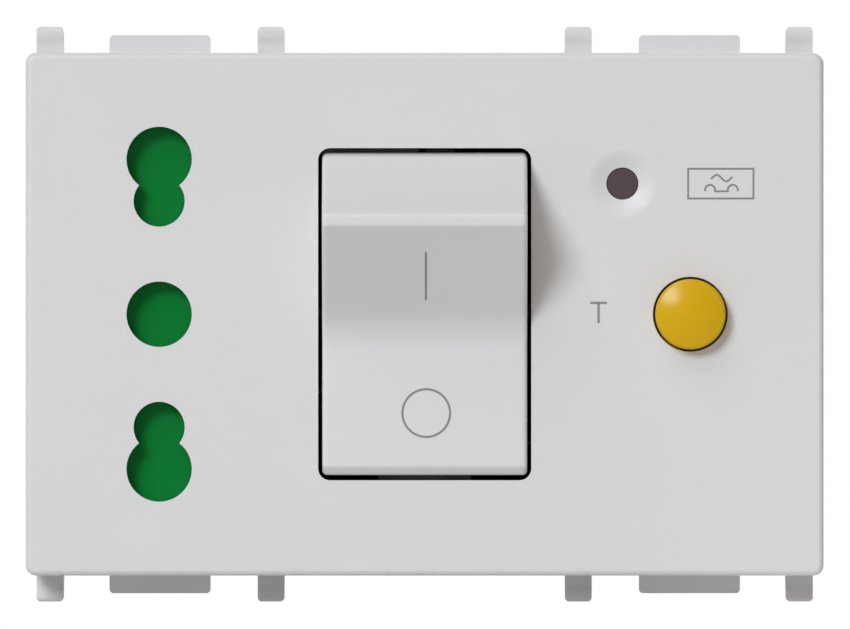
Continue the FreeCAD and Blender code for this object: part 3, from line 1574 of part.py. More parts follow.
# Safety shutter: green bar behind the front wall that slides clear of all pin holes

shutter = Moulding("shutter_body")
SHUTTER_FRONT = f"({BEHIND} + shutter_gap)"
SHUTTER_LEFT = f"({SOCKET_X} - shutter_width / 2)"
SHUTTER_RIGHT = f"({SOCKET_X} + shutter_width / 2)"
TONGUE_LOW = "(tongue_centre - tongue_height / 2)"
TONGUE_HIGH = "(tongue_centre + tongue_height / 2)"
SLOT_LEFT = f"({SHUTTER_LEFT} - shutter_tongue + rib_width * 0.8)"
SLOT_RIGHT = f"({SHUTTER_RIGHT} - rib_width * 0.8)"
shutter.add(
    "y",
    (SHUTTER_FRONT, SHUTTER_BACK),
    rectangle(SHUTTER_LEFT, SHUTTER_RIGHT, f"-{SHUTTER_HALF}", SHUTTER_HALF),
)
shutter.add(
    "y",
    (SHUTTER_FRONT, SHUTTER_BACK),
    rectangle(
        f"{SHUTTER_LEFT} - shutter_tongue", f"{SHUTTER_LEFT} + rib_width", TONGUE_LOW, TONGUE_HIGH
    ),
)
shutter.take(
    "y",
    (SHUTTER_FRONT, SHUTTER_BACK),
    rectangle(
        SLOT_LEFT,
        SLOT_RIGHT,
        "tongue_centre - slot_height / 2",
        "tongue_centre + slot_height / 2",
    ),
)
finish(shutter.body, "shutter")
shutter_left = -module - v.shutter_width / 2
slot_left = shutter_left - v.shutter_tongue + v.rib_width * 0.8
slot_right = -module + v.shutter_width / 2 - v.rib_width * 0.8
shutter_middle = behind + v.shutter_gap + v.shutter_thickness / 2
finish(
    shaped(
        "shutter_spring_piece",
        coil(
            "x",
            (shutter_middle, v.tongue_centre),
            slot_left + v.seat_gap,
            slot_right - v.rib_width - v.running_gap - v.seat_gap,
            v.slot_height / 2 - 2 * v.running_gap,
            v.fine_wire,
            turns=8,
        ),
    ),
    "shutter_spring",
)

# Contact carrier: moulded block behind the shutter with a pocket for each contact

carrier = Moulding("carrier_body")
PLATE_BACK = f"({CARRIER_FRONT} + carrier_plate)"
CARRIER_BACK = f"({PLATE_BACK} + carrier_depth)"
carrier.add(
    "y",
    (CARRIER_FRONT, PLATE_BACK),
    rectangle(CARRIER_LEFT, CARRIER_RIGHT, f"-{CARRIER_REACH}", CARRIER_REACH),
)
carrier.add(
    "y",
    (PLATE_BACK, CARRIER_BACK),
    rectangle(
        f"{SOCKET_X} - carrier_half",
        f"{SOCKET_X} + carrier_half",
        f"rib_width - {CARRIER_REACH}",
        f"{CARRIER_REACH} - rib_width",
    ),
)
carrier.add(
    "y",
    (f"{SHUTTER_FRONT} + shutter_gap", CARRIER_FRONT),
    rectangle(
        f"{SLOT_RIGHT} - rib_width - running_gap",
        f"{SLOT_RIGHT} - running_gap",
        "tongue_centre - slot_height / 2 + running_gap",
        "tongue_centre + slot_height / 2 - running_gap",
    ),
)
carrier.take(
    "y",
    (CARRIER_FRONT, PLATE_BACK),
    disc(SOCKET_X, "span_large / 2", "hole_large + running_gap"),
    disc(SOCKET_X, "0", "hole_large + running_gap"),
    disc(SOCKET_X, "-span_large / 2", "hole_large + running_gap"),
)
carrier.take(
    "y",
    (CARRIER_FRONT, PLATE_BACK),
    disc(SOCKET_X, "span_small / 2", "hole_small + running_gap"),
    disc(SOCKET_X, "-span_small / 2", "hole_small + running_gap"),
)
LIVE_LOW = "(span_small / 2 - hole_small)"
LIVE_HIGH = "(span_large / 2 + hole_large)"
CONTACTS = {
    "line": (LIVE_LOW, LIVE_HIGH),
    "earth": ("-hole_large", "hole_large"),
    "neutral": (f"-{LIVE_HIGH}", f"-{LIVE_LOW}"),
}
POCKET_BACK = f"({CARRIER_BACK} - case_wall)"
TAIL_HIGH = "(2 * chassis_gap)"
TAIL_LOW = "(3 * chassis_gap + strip_thickness)"
for low, high in CONTACTS.values():
    carrier.take(
        "y",
        (PLATE_BACK, POCKET_BACK),
        rectangle(
            f"{SOCKET_X} - pocket_half",
            f"{SOCKET_X} + pocket_half",
            f"{low} - 2 * running_gap",
            f"{high} + 2 * running_gap",
        ),
    )
    carrier.take(
        "y",
        (POCKET_BACK, CARRIER_BACK),
        rectangle(
            f"{SOCKET_X} - strip_thickness / 2 - seat_gap",
            f"{SOCKET_X} + strip_thickness / 2 + seat_gap",
            f"{high} - {TAIL_LOW} - seat_gap",
            f"{high} - {TAIL_HIGH} + seat_gap",
        ),
    )
finish(carrier.body, "contact_carrier")

# Socket contacts: brass leaves either side of the pins, each held closed by a steel clip

carrier_front = behind + 2 * v.shutter_gap + v.shutter_thickness
plate_back = carrier_front + v.carrier_plate
leaf_front = plate_back + v.running_gap
leaf_back = leaf_front + v.leaf_depth
leaf_line = v.leaf_half + v.leaf_thickness / 2
live_low = v.span_small / 2 - v.hole_small
live_high = v.span_large / 2 + v.hole_large
contact_spans = {
    "line": (live_low, live_high),
    "earth": (-v.hole_large, v.hole_large),
    "neutral": (-live_high, -live_low),
}
LEAF_BACK = f"({PLATE_BACK} + running_gap + leaf_depth)"
clips = []
for name, (low, high) in contact_spans.items():
    flare = leaf_line + v.leaf_thickness
    socket_x = -module
    leaves = shaped(
        f"leaves_{name}",
        bent_strip(
            [
                (socket_x - flare, leaf_front),
                (socket_x - leaf_line, leaf_front + 2 * v.leaf_thickness),
                (socket_x - leaf_line, leaf_back),
                (socket_x + leaf_line, leaf_back),
                (socket_x + leaf_line, leaf_front + 2 * v.leaf_thickness),
                (socket_x + flare, leaf_front),
            ],
            v.leaf_thickness,
            "z",
            low,
            high,
        ),
    )
    rule_high = CONTACTS[name][1]
    tail = block(
        f"tail_{name}",
        (f"{SOCKET_X} - strip_thickness / 2", f"{SOCKET_X} + strip_thickness / 2"),
        (LEAF_BACK, f"{CARRIER_BACK} + strip_thickness"),
        (f"{rule_high} - {TAIL_LOW}", f"{rule_high} - {TAIL_HIGH}"),
    )
    finish(join(f"socket_contact_{name}_piece", leaves, tail), f"socket_contact_{name}")
    clip_line = leaf_line + (v.leaf_thickness + v.clip_thickness) / 2 + v.seat_gap
    clip_back = leaf_back + (v.leaf_thickness + v.clip_thickness) / 2 + v.seat_gap
    clips.append(
        shaped(
            f"clip_{name}",
            bent_strip(
                [
                    (socket_x - clip_line, leaf_front + 5 * v.leaf_thickness),
                    (socket_x - clip_line, clip_back),
                    (socket_x + clip_line, clip_back),
                    (socket_x + clip_line, leaf_front + 5 * v.leaf_thickness),
                ],
                v.clip_thickness,
                "z",
                low + v.leaf_thickness / 2,
                high - 4 * v.chassis_gap - v.strip_thickness,
            ),
        )
    )
finish(group("contact_clip_group", *clips), "contact_clips")

# Wire terminals: a cage that its screw draws back against a fixed bar

TERMINALS = (("earth", -1), ("neutral", 0), ("line", 1))
for name, place in TERMINALS:
    middle = f"{place} * {TERMINAL}"
    outside = block(
        f"cage_out_{name}",
        (f"{middle} - cage_half", f"{middle} + cage_half"),
        (CAGE_FRONT, "cage_back"),
        (CAGE_LOW, CAGE_HIGH),
    )
    inside = block(
        f"cage_in_{name}",
        (f"{middle} - cage_half + cage_wall", f"{middle} + cage_half - cage_wall"),
        (f"{CAGE_FRONT} + cage_floor", "cage_back - cage_nut"),
        (f"{CAGE_LOW} - rib_width", f"{CAGE_HIGH} + rib_width"),
    )
    thread = rod(
        f"cage_thread_{name}",
        "y",
        "terminal_screw + seat_gap",
        (middle, "-terminal_height"),
        ("cage_back - 2 * cage_nut", "cage_back + rib_width"),
    )
    finish(cut(f"terminal_cage_{name}_piece", outside, inside, thread), f"terminal_cage_{name}")
    finish(
        block(
            f"terminal_bar_{name}_piece",
            (f"{middle} - bar_width / 2", f"{middle} + bar_width / 2"),
            ("bar_front", "bar_front + strip_thickness"),
            (f"{CAGE_LOW} + chassis_gap", "-bar_top"),
        ),
        f"terminal_bar_{name}",
    )
    head_front = "(cage_back + cage_travel + running_gap)"
    shank = rod(
        f"terminal_shank_{name}",
        "y",
        "terminal_screw",
        (middle, "-terminal_height"),
        ("bar_front + strip_thickness + seat_gap", head_front),
    )
    screw_head = rod(
        f"terminal_head_{name}",
        "y",
        "terminal_head",
        (middle, "-terminal_height"),
        (head_front, f"{head_front} + terminal_head_depth"),
    )
    slot = block(
        f"terminal_slot_{name}",
        (f"{middle} - 2 * terminal_head", f"{middle} + 2 * terminal_head"),
        (f"{head_front} + terminal_head_depth / 2", f"{head_front} + 2 * terminal_head_depth"),
        ("-terminal_height - terminal_head / 6", "-terminal_height + terminal_head / 6"),
    )
    finish(
        cut(f"terminal_screw_{name}_piece", join(f"screw_blank_{name}", shank, screw_head), slot),
        f"terminal_screw_{name}",
    )

# Insulated leads from the breaker through the transformer to the socket, and braids

tail_end = plate_back + v.carrier_depth + v.strip_thickness + v.seat_gap
floor = v.skirt_depth + v.housing_depth - v.rear_wall
tail_drop = 2.5 * v.chassis_gap + v.strip_thickness / 2
strip_top = shaft_z + v.arm_height / 2 + 2 * v.tip_height + v.tip_gap + v.strip_thickness
lead_step = 1.25 * v.lead_radius
over_strips = strip_top + 4 * v.lead_radius
far_right = v.core_x + v.core_width
behind_coil = yoke_back + 2 * v.lead_radius + 2 * v.chassis_gap
bar_face = v.bar_front - v.seat_gap
bar_level = -v.bar_top - v.lead_radius - v.running_gap
lead_bend = 2 * v.lead_radius
routes = {
    "lead_line": [
        (v.arm_offset, floor - 2 * v.lead_radius, strip_top + v.seat_gap),
        (v.arm_offset, floor - 2 * v.lead_radius, over_strips),
        (far_right + v.lead_radius * 2, floor - 2 * v.lead_radius, over_strips),
        (far_right + v.lead_radius * 2, v.core_y + lead_step, v.core_z + lead_step),
        (v.core_x - v.core_width, v.core_y + lead_step, v.core_z + lead_step),
        (v.arm_offset, behind_coil, v.core_z + lead_step),
        (-module, behind_coil, v.core_z + lead_step),
        (-module, v.core_y - v.core_width, live_high - tail_drop),
        (-module, tail_end, live_high - tail_drop),
    ],
    "lead_neutral": [
        (-v.arm_offset, floor - 5 * v.lead_radius, strip_top + v.seat_gap),
        (-v.arm_offset, floor - 5 * v.lead_radius, over_strips),
        (far_right, floor - 5 * v.lead_radius, over_strips),
        (far_right, v.core_y - lead_step, v.core_z - lead_step),
        (v.core_x - v.core_width, v.core_y - lead_step, v.core_z - lead_step),
        (v.arm_offset, behind_coil, v.core_z - lead_step),
        (-module - v.hub_radius, behind_coil, v.core_z - lead_step),
        (-module, v.core_y - v.core_width, -live_low - tail_drop),
        (-module, tail_end, -live_low - tail_drop),
    ],
    "lead_earth": [
        (-module, tail_end, v.hole_large - tail_drop),
        (-module, tail_end + 5 * v.lead_radius, v.hole_large - tail_drop),
        (-terminal, tail_end + 9 * v.lead_radius, bar_level),
        (-terminal, bar_face, bar_level),
    ],
}
for label, route in routes.items():
    finish(shaped(f"{label}_piece", lead(route, v.lead_radius, lead_bend)), label)

braid = v.braid_radius
arm_rest = math.radians(2 * shaft_half)
arm_weld = v.hub_radius + v.tip_height
neutral_end = (
    v.running_gap + v.arm_width / 2 - v.arm_offset,
    shaft_y + arm_weld * math.cos(arm_rest),
    shaft_z - arm_weld * math.sin(arm_rest),
)
line_x = v.arm_offset + v.arm_width / 2 + braid + 2 * v.running_gap
arm_end_y = shaft_y + v.arm_reach * math.cos(arm_rest)
braids = [
    lead(
        [
            (0, bar_face, bar_level),
            (0, arm_end_y - v.tip_radius, bar_level),
            (neutral_end[0] / 3, neutral_end[1], neutral_end[2]),
            neutral_end,
        ],
        braid,
        2 * braid,
    ),
    lead(
        [
            (terminal, bar_face, bar_level),
            (terminal, shaft_y + v.arm_reach - 2 * braid + v.running_gap, bar_level),
            (line_x, shaft_y + v.arm_reach - 2 * braid + v.running_gap, bar_level - 2 * braid),
            (line_x, shaft_y + v.arm_reach / 2, shaft_z - v.arm_reach / 4),
        ],
        braid,
        2 * braid,
    ),
]
finish(
    group("braid_group", *[shaped(f"braid_{n}", solid) for n, solid in enumerate(braids)]),
    "arm_braids",
)

doc.recompute()

# Every object must be sound before anything is written
for item in doc.Objects:
    bad = [state for state in item.State if state in ("Invalid", "Error")]
    if bad:
        raise RuntimeError(f"{item.Name} failed: {bad}")
os.makedirs("parts", exist_ok=True)
for piece in pieces:
    shape = piece.Shape
    if shape.isNull() or not shape.isValid() or not shape.Solids:
        raise RuntimeError(f"{piece.Label} has no sound shape")
    shape.exportStep(f"parts/{piece.Label}.step")
    print(f"{piece.Label}: {len(shape.Solids)} solids, {shape.Volume:.2f} mm3")
print(len(pieces), "sub-parts")
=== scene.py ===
import math

import bmesh
import bpy
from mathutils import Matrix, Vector


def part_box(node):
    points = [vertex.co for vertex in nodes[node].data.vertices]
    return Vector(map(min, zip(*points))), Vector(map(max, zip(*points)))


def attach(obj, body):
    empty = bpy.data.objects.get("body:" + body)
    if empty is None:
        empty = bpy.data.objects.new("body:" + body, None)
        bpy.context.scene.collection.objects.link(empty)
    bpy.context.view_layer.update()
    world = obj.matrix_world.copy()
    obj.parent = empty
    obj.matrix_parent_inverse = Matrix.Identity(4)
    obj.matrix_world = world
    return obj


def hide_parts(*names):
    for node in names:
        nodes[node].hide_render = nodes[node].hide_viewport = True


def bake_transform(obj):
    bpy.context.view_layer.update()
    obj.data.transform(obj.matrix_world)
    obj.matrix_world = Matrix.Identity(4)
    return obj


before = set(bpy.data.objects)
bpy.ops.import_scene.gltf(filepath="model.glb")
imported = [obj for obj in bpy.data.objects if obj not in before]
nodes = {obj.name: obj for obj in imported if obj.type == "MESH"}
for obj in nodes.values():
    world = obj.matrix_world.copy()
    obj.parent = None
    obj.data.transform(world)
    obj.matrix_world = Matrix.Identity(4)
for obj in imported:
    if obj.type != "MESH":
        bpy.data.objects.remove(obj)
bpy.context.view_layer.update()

# Camera straight in front of the plate, as in the photograph. Its long lens, two metres away,
# shows the snap fingers behind the plate at nearly the same scale as the plate.
MM = 0.001
PICTURE_WIDTH, PIXELS_PER_MM = 850, 11.91
CAMERA_SHIFT = 0.025 * MM
plate_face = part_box("front_cover")[0].y
lens = bpy.data.cameras.new("camera")
lens.sensor_width = 36.0
lens.lens = 1000.0
lens.clip_start = 0.1
lens.clip_end = 10.0
view_width = PICTURE_WIDTH / PIXELS_PER_MM * MM
distance = view_width * lens.lens / lens.sensor_width
camera = bpy.data.objects.new("camera", lens)
camera.location = (CAMERA_SHIFT, plate_face - distance, -CAMERA_SHIFT)
camera.rotation_euler = (math.radians(90), 0, 0)
bpy.context.scene.collection.objects.link(camera)
bpy.context.scene.camera = camera

# Rear housing: a tub of mid-grey, glass-filled PBT, injection moulded in one piece. It closes
# the case from behind, and its skin has a fine even grain and hardly any gloss.
FLOW_SIZE = 9
GLOSSIER, DULLER = 0.04, 0.06


def linear(hex_colour):
    """An sRGB hex colour in the linear values that the shaders take."""
    parts = [int(hex_colour[n : n + 2], 16) / 255 for n in (1, 3, 5)]
    return [p / 12.92 if p <= 0.04045 else ((p + 0.055) / 1.055) ** 2.4 for p in parts] + [1.0]


def add(tree, kind, links=None, values=None, **settings):
    """Adds one node; links and values go to its inputs by name or number."""
    made = tree.nodes.new(kind)
    for name, value in settings.items():
        setattr(made, name, value)
    for name, value in (values or {}).items():
        made.inputs[name].default_value = value
    for name, output in (links or {}).items():
        tree.links.new(output, made.inputs[name])
    return made


def per_mm(size):
    """Noise scale whose features are about that many millimetres across."""
    return 1000 / size


def start_material(name):
    made = bpy.data.materials.new(name)
    made.use_nodes = True
    made.node_tree.nodes.clear()
    return made, made.node_tree


def moulded_plastic(name, light, dark, roughness, grain, relief, gloss=0.5):
    """Injection-moulded plastic: a faint flow mottle in its colour, and the grain that the
    eroded steel of the mould leaves on it. Grain and relief are in millimetres, and the grain
    is two or three times as coarse as the real one, so that it shows."""
    made, tree = start_material(name)
    place = add(tree, "ShaderNodeTexCoord").outputs["Object"]
    flow = add(
        tree, "ShaderNodeTexNoise", {"Vector": place}, {"Scale": per_mm(FLOW_SIZE), "Detail": 3.0}
    )
    mottle = add(
        tree,
        "ShaderNodeMix",
        {"Factor": flow.outputs["Fac"]},
        {6: linear(dark), 7: linear(light)},
        data_type="RGBA",
    )
    skin = add(
        tree, "ShaderNodeTexNoise", {"Vector": place}, {"Scale": per_mm(grain), "Detail": 2.0}
    )
    sheen = add(
        tree,
        "ShaderNodeMapRange",
        {"Value": skin.outputs["Fac"]},
        {"To Min": roughness - GLOSSIER, "To Max": roughness + DULLER},
    )
    bump = add(
        tree,
        "ShaderNodeBump",
        {"Height": skin.outputs["Fac"]},
        {"Strength": 1.0, "Distance": relief * MM},
    )
    shader = add(
        tree,
        "ShaderNodeBsdfPrincipled",
        {
            "Base Color": mottle.outputs[2],
            "Roughness": sheen.outputs["Result"],
            "Normal": bump.outputs["Normal"],
        },
        {"IOR": 1.5, "Specular IOR Level": gloss},
    )
    add(tree, "ShaderNodeOutputMaterial", {"Surface": shader.outputs["BSDF"]})
    return made


def coat(material, *names):
    """Gives CAD nodes their material."""
    for name in names:
        for slot in nodes[name].material_slots:
            slot.material = material


grey_pbt = moulded_plastic(
    "moulded_grey_pbt", "#8F9192", "#888A8B", roughness=0.5, grain=0.3, relief=0.012
)
coat(grey_pbt, "rear_housing")

# Terminal marks on the back: L, N and the earth sign, standing a tenth of a millimetre proud
# above the three screw wells. They are cut into the mould, so they share the housing's plastic.
REAR_STROKE, REAR_RELIEF = 0.25, 0.1
MARK_LEVEL = -9.2
REAR_MARKS = {
    "line": [([(-0.5, 1.6), (-0.5, 0.0), (0.6, 0.0)], False)],
    "neutral": [([(-0.6, 0.0), (-0.6, 1.6), (0.6, 0.0), (0.6, 1.6)], False)],
    "earth": [
        ([(0.0, 1.7), (0.0, 0.75)], False),
        ([(-0.9, 0.7), (0.9, 0.7)], False),
        ([(-0.55, 0.35), (0.55, 0.35)], False),
        ([(-0.22, 0.0), (0.22, 0.0)], False),
    ],
}


def ribbon(points, width, closed):
    """Left and right edges of a flat stroke along a line of points, mitred at its corners."""
    count = len(points)
    left, right = [], []
    for n, (u, v) in enumerate(points):
        before = points[n - 1] if closed or n else None
        after = points[(n + 1) % count] if closed or n < count - 1 else None
        ways = []
        for a, b in ((before, (u, v)), ((u, v), after)):
            if a and b:
                length = math.hypot(b[0] - a[0], b[1] - a[1])
                ways.append(((a[1] - b[1]) / length, (b[0] - a[0]) / length))
        first, last = ways[0], ways[-1]
        mitre = 1 + first[0] * last[0] + first[1] * last[1]
        step_u = width / 2 * (first[0] + last[0]) / mitre
        step_v = width / 2 * (first[1] + last[1]) / mitre
        left.append((u + step_u, v + step_v))
        right.append((u - step_u, v - step_v))
    return left, right


def strokes(name, lines, width, low, high, place, material, body):
    """Thin solid strokes on a surface, along lines that are (points, closed) pairs. place turns
    (across, up, out) in millimetres into a point; low and high are their reach in and out."""
    points, faces = [], []
    for line, closed in lines:
        left, right = ribbon(line, width, closed)
        start, count = len(points), len(line)
        for (lu, lv), (ru, rv) in zip(left, right):
            points += [place(lu, lv, low), place(ru, rv, low)]
            points += [place(ru, rv, high), place(lu, lv, high)]
        spans = count if closed else count - 1
        for n in range(spans):
            here, there = start + 4 * n, start + 4 * ((n + 1) % count)
            for side in range(4):
                turn = (side + 1) % 4
                faces.append((here + side, here + turn, there + turn, there + side))
        if not closed:
            end = start + 4 * (count - 1)
            faces.append((start + 3, start + 2, start + 1, start))
            faces.append((end, end + 1, end + 2, end + 3))
    mesh = bpy.data.meshes.new(name)
    mesh.from_pydata([point * MM for point in points], [], faces)
    mesh.materials.append(material)
    shell = bmesh.new()
    shell.from_mesh(mesh)
    bmesh.ops.recalc_face_normals(shell, faces=shell.faces)
    shell.to_mesh(mesh)
    shell.free()
    piece = bpy.data.objects.new(name, mesh)
    bpy.context.scene.collection.objects.link(piece)
    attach(piece, body)
    return piece


rear_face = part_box("rear_housing")[1].y / MM
for label, lines in REAR_MARKS.items():
    low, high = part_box(f"terminal_screw_{label}")
    middle = (low.x + high.x) / 2 / MM
    mark = strokes(
        f"rear_mark_{label}",
        lines,
        REAR_STROKE,
        -REAR_RELIEF,
        REAR_RELIEF,
        lambda u, v, w: Vector((middle - u, rear_face + w, MARK_LEVEL + v)),
        grey_pbt,
        "device",
    )

# Wire terminals: a zinc-plated steel cage round a brass bar, drawn tight by a slotted screw.
# The plating looks grey-white and slightly cloudy; the rolled brass has fine streaks.
POLISHED, DULLED = 0.1, 0.12


def plated_metal(name, light, dark, roughness, cloud, streak=(1.0, 1.0, 1.0)):
    """Bare or plated metal: clouds that vary its tone and polish, their size in millimetres.
    A streak below 1 on an axis draws them out along it, as rolling does."""
    made, tree = start_material(name)
    place = add(tree, "ShaderNodeTexCoord").outputs["Object"]
    drawn = add(tree, "ShaderNodeMapping", {"Vector": place}, {"Scale": streak})
    clouds = add(
        tree,
        "ShaderNodeTexNoise",
        {"Vector": drawn.outputs["Vector"]},
        {"Scale": per_mm(cloud), "Detail": 4.0},
    )
    tone = add(
        tree,
        "ShaderNodeMix",
        {"Factor": clouds.outputs["Fac"]},
        {6: linear(dark), 7: linear(light)},
        data_type="RGBA",
    )
    polish = add(
        tree,
        "ShaderNodeMapRange",
        {"Value": clouds.outputs["Fac"]},
        {"To Min": roughness - POLISHED, "To Max": roughness + DULLED},
    )
    shader = add(
        tree,
        "ShaderNodeBsdfPrincipled",
        {"Base Color": tone.outputs[2], "Roughness": polish.outputs["Result"]},
        {"Metallic": 1.0},
    )
    add(tree, "ShaderNodeOutputMaterial", {"Surface": shader.outputs["BSDF"]})
    return made


zinc_plated_steel = plated_metal(
    "zinc_plated_steel", "#C9CBCC", "#A9ABAE", roughness=0.34, cloud=1.2
)
rolled_brass = plated_metal(
    "rolled_brass", "#D9BE78", "#C2A35C", roughness=0.3, cloud=0.6, streak=(1.0, 0.12, 1.0)
)
for label in ("earth", "neutral", "line"):
    coat(zinc_plated_steel, f"terminal_cage_{label}", f"terminal_screw_{label}")
    coat(rolled_brass, f"terminal_bar_{label}")

# Socket contacts: folded brass leaves that grip the plug's pins, each held closed by a
# spring-steel clip, in a moulded carrier of off-white polyamide that looks chalky and dull.
coat(rolled_brass, *[f"socket_contact_{label}" for label in ("line", "earth", "neutral")])
spring_steel = plated_metal(
    "drawn_spring_steel", "#B9BABC", "#94969A", roughness=0.26, cloud=0.5
)
coat(spring_steel, "contact_clips")
polyamide = moulded_plastic(
    "moulded_polyamide", "#D6D2C6", "#CCC7BA", roughness=0.55, grain=0.35, relief=0.01
)
coat(polyamide, "contact_carrier", "button_guide")

# Safety shutter: a flat bar of green acetal behind the pin holes, pushed back by a small
# coil spring in its tongue. Acetal is naturally waxy, with a soft gloss.
acetal = moulded_plastic(
    "moulded_green_acetal",
    "#007830",
    "#00712B",
    roughness=0.36,
    grain=0.5,
    relief=0.004,
    gloss=0.08,
)
coat(acetal, "shutter")
coat(spring_steel, "shutter_spring")
X, Y, Z = range(3)
LOW_END, HIGH_END = range(2)


def flexing(node, axis, pushed):
    """Stands for a springy CAD piece with a still copy of its mesh, and hides the piece. Its held
    end along the axis is worked out but not used, so no end follows a moving body and nothing
    bends. It takes the piece's material, so it comes after that."""
    piece = bpy.data.objects.new(f"flexing_{node}", nodes[node].data.copy())
    piece.matrix_world = nodes[node].matrix_world
    bpy.context.scene.collection.objects.link(piece)
    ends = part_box(node)
    held_end = ends[pushed].copy()
    held_end[axis] = ends[1 - pushed][axis]
    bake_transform(piece)
    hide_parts(node)


flexing("shutter_spring", X, LOW_END)

# Breaker mechanism: chassis, contact shaft and trip bar moulded in black glass-filled
# polyamide, turning on steel pins. The glass makes the moulding dull and slightly speckled.
black_polyamide = moulded_plastic(
    "moulded_black_polyamide", "#2B2C2E", "#1F2022", roughness=0.55, grain=0.25, relief=0.015
)
coat(black_polyamide, "chassis", "contact_shaft", "trip_bar")
coat(zinc_plated_steel, "shaft_pin", "trip_pin", "link")
blackened_steel = plated_metal(
    "blackened_steel", "#1C1C1D", "#131314", roughness=0.5, cloud=0.8
)
coat(blackened_steel, "rocker_pin")
coat(spring_steel, "opening_spring", "trip_spring")
flexing("opening_spring", X, HIGH_END)
flexing("trip_spring", X, HIGH_END)

# Contacts of the breaker: copper arms with braids on the moving side, brass strips on the
# fixed side. Bare copper is warm and soon mottled by handling.
bare_copper = plated_metal("bare_copper", "#D08A66", "#B06A48", roughness=0.36, cloud=0.9)
coat(bare_copper, "moving_contact_line", "moving_contact_neutral", "arm_braids")
flexing("arm_braids", Y, LOW_END)
coat(rolled_brass, "fixed_contact_line", "fixed_contact_neutral")

# Arc chamber: punched steel plates in a side wall of vulcanised fibre, a dull tan sheet
# whose short fibres show as fine flecks.
coat(zinc_plated_steel, "arc_plates")
vulcanised_fibre = moulded_plastic(
    "vulcanised_fibre", "#BDA788", "#A98F6E", roughness=0.7, grain=0.4, relief=0.02
)
coat(vulcanised_fibre, "arc_side")

# Magnetic release: enamelled copper winding on a moulded tube, in a bent steel yoke, with a
# sprung steel plunger. The enamel makes the copper darker and glossier than bare wire.
enamelled_copper = plated_metal(
    "enamelled_copper", "#A85A34", "#8E4526", roughness=0.24, cloud=1.5
)
coat(enamelled_copper, "trip_coil", "transformer_winding")
coat(black_polyamide, "coil_tube", "trip_relay")
coat(zinc_plated_steel, "coil_yoke", "coil_plunger", "relay_pin")
coat(spring_steel, "plunger_spring")
flexing("plunger_spring", Y, LOW_END)

# Thermal release: one strip of rolled bimetal, its two alloys bonded into a single
# grey-brown sheet with streaks along the rolling direction.
bimetal = plated_metal(
    "rolled_bimetal", "#A7A299", "#8D877C", roughness=0.38, cloud=0.8, streak=(0.15, 1.0, 0.15)
)
coat(bimetal, "bimetal_strip")

# Transformer of the residual-current release: a pressed ferrite ring, dark grey and matt,
# with the fine pits of sintered powder.
ferrite = moulded_plastic(
    "sintered_ferrite", "#3A3B3D", "#2C2D2F", roughness=0.62, grain=0.2, relief=0.02
)
coat(ferrite, "transformer_core")

# Circuit board: glass-epoxy laminate under green solder resist, carrying black components
# and one beige ceramic resistor. The laminate shows through the resist as a faint mottle.
solder_resist = moulded_plastic(
    "green_solder_resist", "#22683F", "#1B5A35", roughness=0.32, grain=0.5, relief=0.006
)
coat(solder_resist, "circuit_board")
epoxy = moulded_plastic(
    "epoxy_component", "#242528", "#1B1C1E", roughness=0.42, grain=0.3, relief=0.006
)
coat(epoxy, "board_parts")
ceramic = moulded_plastic(
    "ceramic_resistor", "#CDB98F", "#BFA97D", roughness=0.48, grain=0.25, relief=0.01
)
coat(ceramic, "test_resistor")

# Insulated leads: stranded copper in brown, blue and green-and-yellow PVC, extruded, with
# a soft sheen. The earth lead's two colours run round it as bands.
BAND_SIZE = 20
BAND_EDGE = 0.5
EXTRUDED = {"roughness": 0.4, "grain": 0.6, "relief": 0.004}
coat(moulded_plastic("brown_pvc", "#5F3823", "#55301D", **EXTRUDED), "lead_line")
coat(moulded_plastic("blue_pvc", "#1E4F9C", "#19458B", **EXTRUDED), "lead_neutral")
earth_pvc = moulded_plastic("green_yellow_pvc", "#D8C51E", "#D0BC19", **EXTRUDED)
tree = earth_pvc.node_tree
place = add(tree, "ShaderNodeTexCoord").outputs["Object"]
bands = add(
    tree,
    "ShaderNodeTexWave",
    {"Vector": place},
    {"Scale": per_mm(BAND_SIZE)},
    bands_direction="DIAGONAL",
)
edges = add(
    tree, "ShaderNodeMath", {0: bands.outputs["Fac"]}, {1: BAND_EDGE}, operation="GREATER_THAN"
)
shader = next(n for n in tree.nodes if n.type == "BSDF_PRINCIPLED")
yellow = shader.inputs["Base Color"].links[0].from_socket
banded = add(
    tree,
    "ShaderNodeMix",
    {"Factor": edges.outputs[0], 6: yellow},
    {7: linear("#2E8B3C")},
    data_type="RGBA",
)
tree.links.new(banded.outputs[2], shader.inputs["Base Color"])
coat(earth_pvc, "lead_earth")

# Test circuit: a glossy yellow ABS button on a stem, sprung against its guide, that presses
# a leaf of rolled brass. The polished mould gives the button its clear highlight.
yellow_abs = moulded_plastic(
    "polished_yellow_abs",
    "#D2A800",
    "#CDA200",
    roughness=0.22,
    grain=1.2,
    relief=0.002,
    gloss=0.2,
)
coat(yellow_abs, "test_button")
coat(spring_steel, "button_spring")
coat(rolled_brass, "test_leaf")
flexing("button_spring", Y, LOW_END)
flexing("test_leaf", Z, LOW_END)

# Indicator: a short light guide of smoky polycarbonate in its dish, with a pale red lamp
# behind. Unlit, it looks almost black-brown with a dull polished end.
smoky_polycarbonate = moulded_plastic(
    "smoky_polycarbonate",
    "#54484A",
    "#4A3F40",
    roughness=0.3,
    grain=0.6,
    relief=0.002,
    gloss=0.15,
)
coat(smoky_polycarbonate, "indicator_lens")
lamp_epoxy = moulded_plastic(
    "clear_lamp_epoxy", "#E2A79E", "#D99A90", roughness=0.15, grain=1.0, relief=0.001
)
coat(lamp_epoxy, "indicator_lamp")

